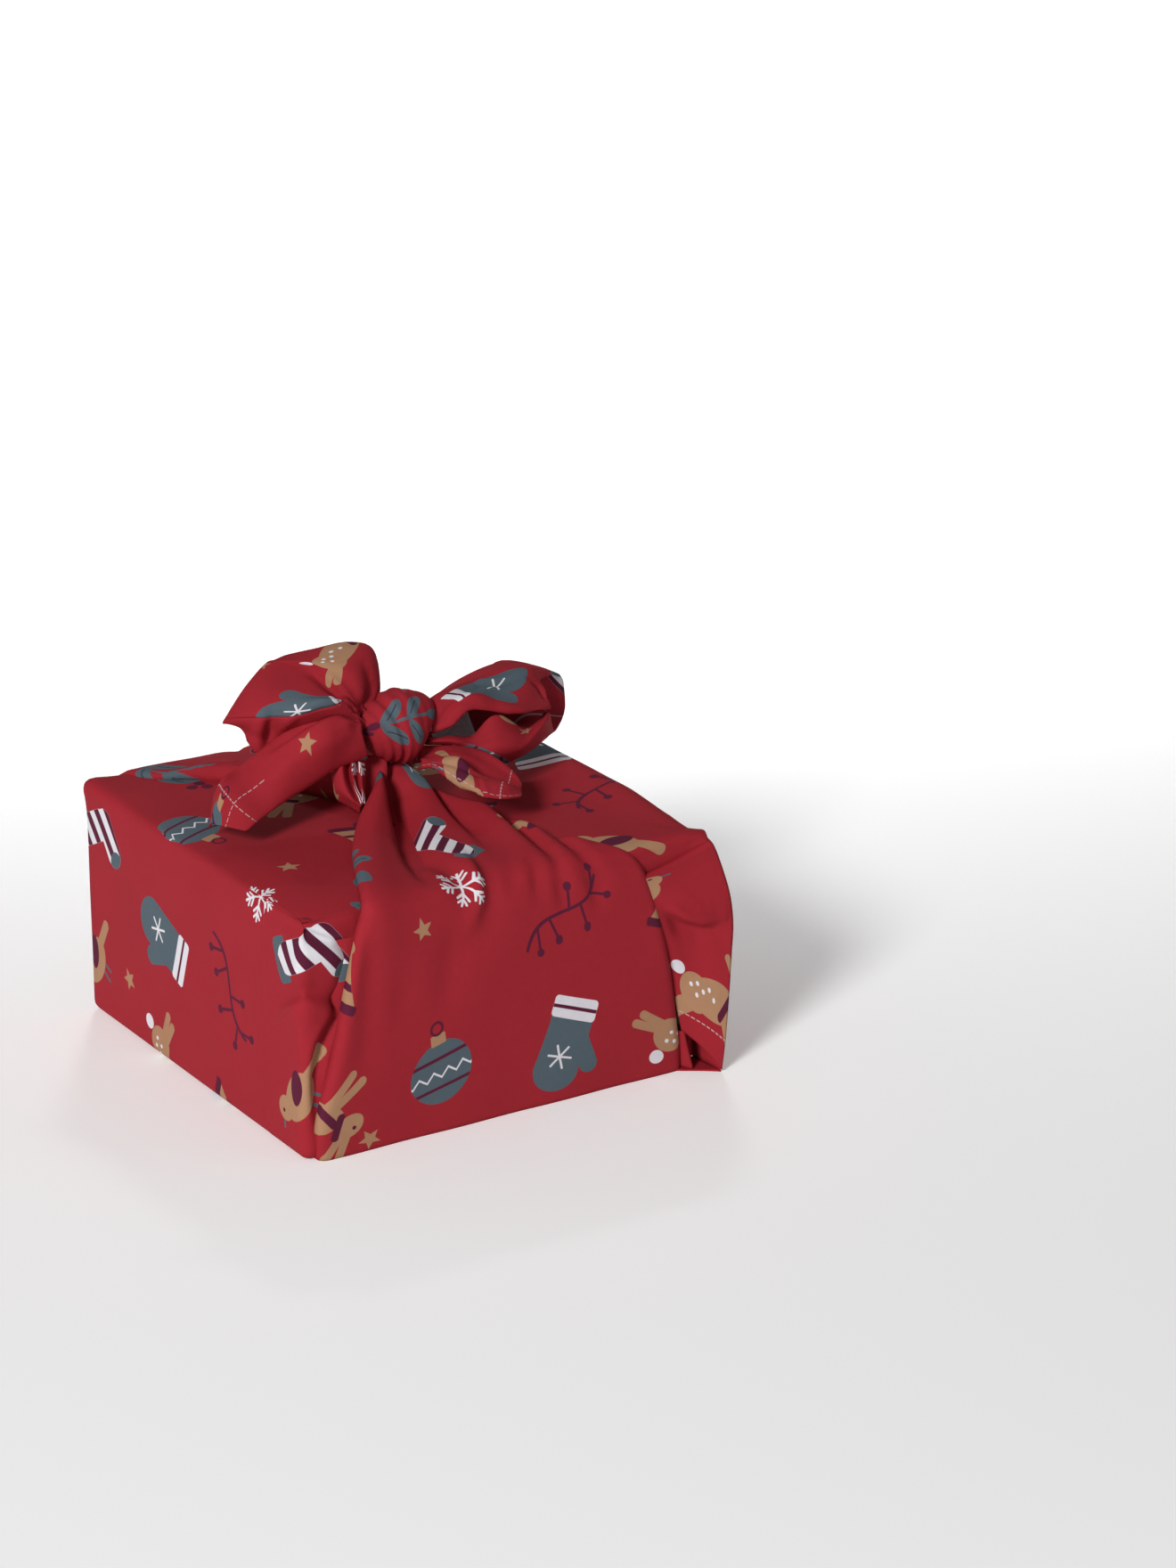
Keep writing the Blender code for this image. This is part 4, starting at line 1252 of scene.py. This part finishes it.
# %% [markdown]
# ## The motifs
#
# The print is an ordinary one for winter, made up for this lesson: mittens, baubles, bells,
# stockings, hares, birds, twigs and snowflakes.  Each motif is about as large as the ones on the
# real cloth and in its colours.  It gives the shapes that lie below and the details on top.

# %% Draw the things that hang and are worn
def mitten(p):
    hand = nearest(bar(p, (0, -2), (0, 9), 9.5), bar(p, (7, -3), (13, 5), 3.8),
                   block(p, (0, -7), (8, 4), 1.5))
    cuff = block(p, (0, -15), (8.5, 2.6), 1.6)
    star = strokes(p, ((-5, 4, 5, 4), (-2.5, -0.3, 2.5, 8.3), (-2.5, 8.3, 2.5, -0.3)), 0.45)
    knitted = within(cuff, abs(p.split()[1] + 15) - 0.7)
    return {"slate": hand, "white": cuff}, {"white": star, "burgundy": knitted}


def bauble(p):
    x, y = p.split()
    ball = disc(p, (0, -2), 12.5)
    zigzag = abs(y + 3.8 - x.maths("PINGPONG", 3)) - 0.5
    bands = abs(abs(y + 2) - 6) - 0.7
    cap = block(p, (0, 11.4), (2.6, 1.6), 0.5)
    return ({"slate": ball, "tan": cap, "burgundy": ring(p, (0, 15.8), 2.4, 0.5)},
            {"white": within(ball, zigzag), "burgundy": within(ball, bands)})


def bell(p):
    x, y = p.split()
    flare = abs(x) - 4 - 0.018 * (10 - y) * (10 - y)
    body = nearest(within(flare, abs(y + 0.5) - 10.5), disc(p, (0, 9), 4.6))
    rim = block(p, (0, -11.6), (11.5, 0.6), 1.2)
    band = within(body, abs(y + 4) - 1.2)
    dots = disc(p, (0, 3), 1.1)
    clapper, loop = disc(p, (0, -15), 2.7), ring(p, (0, 15.5), 2.2, 0.6)
    return ({"tan": body, "burgundy": clapper, "slate": loop},
            {"burgundy": nearest(band, rim), "white": dots})


def stocking(p):
    x, y = p.split()
    foot = nearest(bar(p, (-4, 10), (-4, -6), 6.2), bar(p, (-4, -9.5), (8, -12), 5.8))
    stripes = within(foot, (y + x * 0.3).maths("PINGPONG", 4) - 2)
    toe = within(foot, disc(p, (13, -12.5), 5.5))
    cuff = block(p, (-4, 14.5), (7, 2), 1.6)
    return {"white": foot, "slate": cuff}, {"burgundy": stripes, "slate": toe}


print("drawn:", *(motif.__name__ for motif in (mitten, bauble, bell, stocking)))

# %% [markdown]
# The animals are plain ones: each is a few ovals and strokes in one colour, with its details in
# the darker ones.

# %% Draw the animals
def hare(p):
    body = nearest(oval(p, (0, 0), (14, 6.6), 12), disc(p, (-10, -2), 7.0),
                   oval(p, (15.5, 8), (5.8, 4.2), -15))
    ears = strokes(p, ((12, 10, 4, 18), (14, 11, 8.5, 20)), 1.6)
    legs = strokes(p, ((9, -1, 21, -8), (8, -3, 17, -12), (-12, -5, -22, -13), (-9, -5, -18, -15)),
                   1.8)
    scarf = strokes(p, ((9.3, 10.2, 12.8, 3), (10, 5, 5, -3)), 1.5)
    spots = nearest(*(disc(p, spot, 0.8) for spot in ((-12, 0), (-9, 1.5), (-6, 0), (-9, -2.5),
                                                      (-3, 2), (0, 0))))
    return ({"tan": nearest(body, ears, legs), "white": disc(p, (-18, 4.5), 3)},
            {"burgundy": nearest(scarf, disc(p, (17.3, 9.2), 0.8)), "white": spots})


def bird(p):
    body = nearest(oval(p, (0, 0), (11, 7), 20), disc(p, (8.5, 7), 4.8),
                   bar(p, (-9, -3), (-19, -7), 2.2))
    wing = oval(p, (-3, 1.5), (7, 3.4), -8)
    legs = strokes(p, ((1, -6, 3, -12), (-2.5, -6, -1.5, -12.5), (12.8, 7.2, 16, 6.4)), 0.6)
    return ({"tan": body, "slate": legs},
            {"burgundy": nearest(wing, disc(p, (9.8, 8), 0.8)),
             "white": strokes(p, ((-7, 2, -1, 2.6), (-7.5, 0.4, -1.5, 0.8)), 0.35)})


print("drawn:", *(motif.__name__ for motif in (hare, bird)))

# %% [markdown]
# Twigs, snowflakes and stars fill the room between the larger motifs.

# %% Draw the small motifs
def leafy_twig(p):
    leaves = (((-9, -0.5), 72), ((-4, -9), -12), ((1, 5.5), 70), ((6, -3), -12), ((15, 9.5), 30))
    stem = bar(p, (-15, -9), (10, 6.5), 0.6)
    berries = nearest(*(disc(p, spot, 2.3) for spot in ((-14, -12.5), (-18.5, -9), (-14, -7.5))))
    leaf = nearest(*(oval(p, spot, (7, 2.9), degrees) for spot, degrees in leaves))
    vein = strokes(p, ((-10, -4, -8, 3), (0, 2, 2, 9), (1, -8.5, -8, -9), (2, -2, 10, -4)), 0.25)
    return {"slate": nearest(stem, leaf), "burgundy": berries}, {"dark": vein}


def curly_twig(p):
    x, y = p.split()
    wave = within(abs(y - 5 * (x / 8).maths("SINE")) - 0.8, abs(x) - 21)
    twigs = strokes(p, ((-12, -5, -17, 3), (-6, -3, -8, 6), (8, 4, 4, 13), (14, 5, 19, 12),
                        (3, 2, 9, -5), (17, 4, 22, -2)), 0.6)
    ends = ((-17, 3), (-8, 6), (4, 13), (19, 12), (9, -5), (22, -2))
    return {"burgundy": nearest(wave, twigs, *(disc(p, end, 1.7) for end in ends))}, {}


def snowflake(p):
    arm = fold_around(p, 6)
    return {"white": strokes(arm, ((0, 0, 10, 0), (4.5, 0, 7, 2.6), (7, 0, 9, 2)), 0.5)}, {}


def small_star(p):
    arm = fold_around(p, 5)
    side = np.array([2.1 * np.cos(np.pi / 5) - 4.6, 2.1 * np.sin(np.pi / 5)])
    across = (side[1], -side[0], 0) / np.hypot(*side)
    return {"tan": (arm - (4.6, 0, 0)).dot(tuple(across))}, {}


print("drawn:", *(motif.__name__ for motif in (leafy_twig, curly_twig, snowflake, small_star)))

# %% [markdown]
# ## The repeat
#
# Printed cloth repeats.  Every motif has one place and turn on a square of 160 mm, and its
# coordinates are wrapped round it, so that it comes again on the next square.

# %% Repeat the motifs
REPEAT = 160
MOTIFS = (
    # motif, x, y, degrees
    (mitten, 24, 20, 20),
    (hare, 80, 26, -12),
    (bauble, 132, 16, 165),
    (stocking, 2, 74, -25),
    (bird, 54, 79, 10),
    (leafy_twig, 107, 73, 60),
    (curly_twig, 26, 128, -40),
    (bell, 82, 132, 200),
    (snowflake, 144, 108, 0),
    (small_star, 52, 50, 10),
    (small_star, 120, 122, 40),
    (small_star, 105, 38, 25),
)
PRINT_EDGE = 0.25  # how far a printed edge bleeds
COTTON = {
    "red": (0.335, 0.0175, 0.028),
    "tan": (0.40, 0.215, 0.12),
    "slate": (0.085, 0.118, 0.142),
    "white": (0.72, 0.70, 0.74),
    "burgundy": (0.10, 0.011, 0.034),
    "dark": (0.035, 0.035, 0.045),
}


def shown(distance, blur=PRINT_EDGE):
    """1 inside a shape and 0 outside."""
    return distance.maths("MULTIPLY_ADD", -1 / blur, 0.5, clamp=True)


def mixed(under, over, amount):
    """A colour laid over another."""
    inputs = {"Factor": amount}
    for place, colour in ((6, under), (7, over)):
        inputs[place] = colour if isinstance(colour, Shade) else (*colour, 1)
    return Shade.node("ShaderNodeMix", {"data_type": "RGBA"}, inputs, 2)


def printed(place):
    """The colour of the print at a place of the flat cloth, in millimetres."""
    layers = ({}, {})
    for motif, x, y, degrees in MOTIFS:
        local = place - (x, y, 0)
        local = local.maths("WRAP", REPEAT / 2, -REPEAT / 2).turned(degrees)
        for layer, shapes in zip(layers, motif(local)):
            for colour, distance in shapes.items():
                layer.setdefault(colour, []).append(distance)
    colour = COTTON["red"]
    for layer in layers:
        for name, distances in layer.items():
            colour = mixed(colour, COTTON[name], shown(nearest(*distances)))
    return colour


print(len(MOTIFS), "motifs repeat every", REPEAT, "mm, in", len(COTTON), "colours")

# %% [markdown]
# ## The cotton
#
# The cotton is a plain weave.  Its threads are about 0.4 mm apart and run along the sides of the
# square, which lies at 45 degrees to the parcel.  The hem is turned over by 11 mm and sewn with a
# pale thread, so that it is a little thicker there.

# %% Weave and sew the cotton
THREAD = 0.42  # mm between threads
WEAVE_HEIGHT, SLUB_HEIGHT, FADING_HEIGHT = 0.05, 0.12, 0.5  # mm
HEM_HEIGHT, STITCH_HEIGHT = 0.25, 0.25  # mm
WEAVE_SHADE, SLUB_SHADE, FADING_SHADE = 0.05, 0.14, 0.16  # how much each changes the colour
SLUBS = {"Scale": 0.35, "Detail": 4.0}  # thicker and thinner threads
FADING = {"Scale": 0.03, "Detail": 2.0}  # larger patches, from folding and washing
ROUGHNESS, SLUB_ROUGHNESS, GLOSS = 0.80, 0.15, 0.12
HEM, HEM_EDGE = 11, 1.2  # mm from the edge to the stitches, and how softly the hem ends
STITCH, STITCH_STEP, STITCH_WIDTH, STITCH_EDGE = 2.1, 3.0, 0.3, 0.2
STITCH_COLOUR, STITCH_COVER = (0.62, 0.42, 0.42), 0.75


def wave_across(place, step):
    return (place * (2 * np.pi / step)).maths("SINE")


def in_mm(uv_name):
    """A UV map, which is in metres, in millimetres."""
    return Shade.node("ShaderNodeUVMap", {"uv_map": uv_name}) * (1 / MM, 1 / MM, 0)


def stitches():
    """1 on the stitches, and the hem's extra thickness."""
    first, second = in_mm("hem").split()
    sewn = []
    for away, along in ((first, second), (second, first)):
        dash = along.maths("PINGPONG", STITCH_STEP / 2) - STITCH / 2
        sewn.append(within(abs(away - HEM) - STITCH_WIDTH, dash))
    double = nearest(first, second) - HEM
    return shown(nearest(*sewn), STITCH_EDGE), shown(double, HEM_EDGE)


def cotton(material, colour_of):
    material.use_nodes = True
    Shade.tree = material.node_tree
    shader = material.node_tree.nodes["Principled BSDF"]
    place = in_mm("flat cloth")
    warp, weft = place.turned(45).split()
    weave = wave_across(warp, THREAD) * wave_across(weft, THREAD)
    slubs, fading = (Shade.node("ShaderNodeTexNoise", (), {"Vector": place, **noise})
                     for noise in (SLUBS, FADING))
    stitch, double = stitches()
    colour = mixed(colour_of(place), STITCH_COLOUR, stitch * STITCH_COVER)
    shade = (1 + (fading - 0.5) * FADING_SHADE + (slubs - 0.5) * SLUB_SHADE
             + weave * WEAVE_SHADE)
    height = (weave * WEAVE_HEIGHT + slubs * SLUB_HEIGHT + fading * FADING_HEIGHT
              + double * HEM_HEIGHT + stitch * STITCH_HEIGHT)
    bump_of = {"Strength": 0.6, "Distance": MM, "Height": height}
    links = {"Base Color": shade.scaled(colour),
             "Roughness": ROUGHNESS + (slubs - 0.5) * SLUB_ROUGHNESS,
             "Normal": Shade.node("ShaderNodeBump", (), bump_of)}
    for socket, value in links.items():
        Shade.tree.links.new(value.socket, shader.inputs[socket])
    shader.inputs["Specular IOR Level"].default_value = GLOSS
    print(f"{material.name}: {len(material.node_tree.nodes)} nodes")


print("the weave has", round(1 / (THREAD * MM)), "threads to the metre")

# %% [markdown]
# Both sides have the same weave and stitches.  The print is on one side only, and shows through
# to the other faintly, as darker patches.

# %% Print the right side, and leave the reverse plain
REVERSE, PRINT_BEHIND = (0.80, 0.75, 0.80), (0.68, 0.54, 0.60)
PATCH_STEP, PATCH_RADIUS, PATCH_EDGE = 120, 14, 10  # mm between the patches, and their size


def plain_reverse(place):
    """The print shows faintly through the thin cotton, in blurred patches."""
    near = place.maths("WRAP", PATCH_STEP / 2, -PATCH_STEP / 2)
    through = shown(disc(near, (0, 0), PATCH_RADIUS), PATCH_EDGE)
    return mixed(REVERSE, PRINT_BEHIND, through * 0.5)


for material, colour_of in zip(SIDES, (printed, plain_reverse)):
    cotton(material, colour_of)
sides = np.empty(len(cloth.data.polygons), int)
cloth.data.polygons.foreach_get("material_index", sides)
print("faces by side:", np.bincount(sides), "of", len(cloth.data.materials), "materials")

# %% [markdown]
# ## The surface and the light
#
# The parcel stands on a plain pale surface, which glows a little by itself so that it looks as
# white as a lit studio's.  One large soft light from the front left shapes the folds, a weak one
# fills from the right, and one with a narrow beam lights the surface behind and not the cloth.
# The pale surroundings keep the shadows open.

# %% Light the surface
FLOOR = {
    "Base Color": (0.95, 0.95, 0.95, 1),
    "Roughness": 0.9,
    "Emission Color": (1, 1, 1, 1),
    "Emission Strength": 0.12,
}
LIGHTS = (
    # name, place, what it points at, size in metres, power in watts, beam in degrees
    ("key", (-2.9, -1.8, 2.1), (0, 0, 0.06), 1.0, 128, 180),
    ("fill", (1.4, -1.2, 0.9), (0, 0, 0.06), 1.0, 1, 180),
    ("backdrop", (1.7, 2.7, 2.2), (1.0, 1.6, 0), 1.0, 55, 45),
)
SURROUNDINGS = {"Color": (1, 1, 1, 1), "Strength": 0.2}


def set_sockets(node, values):
    for socket, value in values.items():
        node.inputs[socket].default_value = value


def add_floor():
    floor = add_piece("pale_floor", bpy.ops.mesh.primitive_plane_add, size=8)
    material = bpy.data.materials.new("pale floor")
    material.use_nodes = True
    set_sockets(material.node_tree.nodes["Principled BSDF"], FLOOR)
    floor.data.materials.append(material)


def add_light(name, place, target, size, power, beam):
    bpy.ops.object.light_add(type="AREA", location=place)
    light = bpy.context.object
    light.name = name
    light.data.shape = "DISK"
    light.data.size = size
    light.data.energy = power
    light.data.spread = np.radians(beam)
    toward = np.array(target) - place
    back = -toward / np.linalg.norm(toward)
    right = np.cross((0, 0, 1), back)
    right /= np.linalg.norm(right)
    stand(light, right, np.cross(back, right), back, place)
    print(f"{name}: {power} W from {round(float(np.linalg.norm(toward)), 1)} m")


add_floor()
for light in LIGHTS:
    add_light(*light)
world = bpy.data.worlds.new("studio")
bpy.context.scene.world = world
world.use_nodes = True
set_sockets(world.node_tree.nodes["Background"], SURROUNDINGS)
bpy.context.scene.view_settings.view_transform = "Standard"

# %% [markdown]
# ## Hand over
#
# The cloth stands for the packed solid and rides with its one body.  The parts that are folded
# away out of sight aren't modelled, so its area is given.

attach(cloth, "root")
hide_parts("wrap")
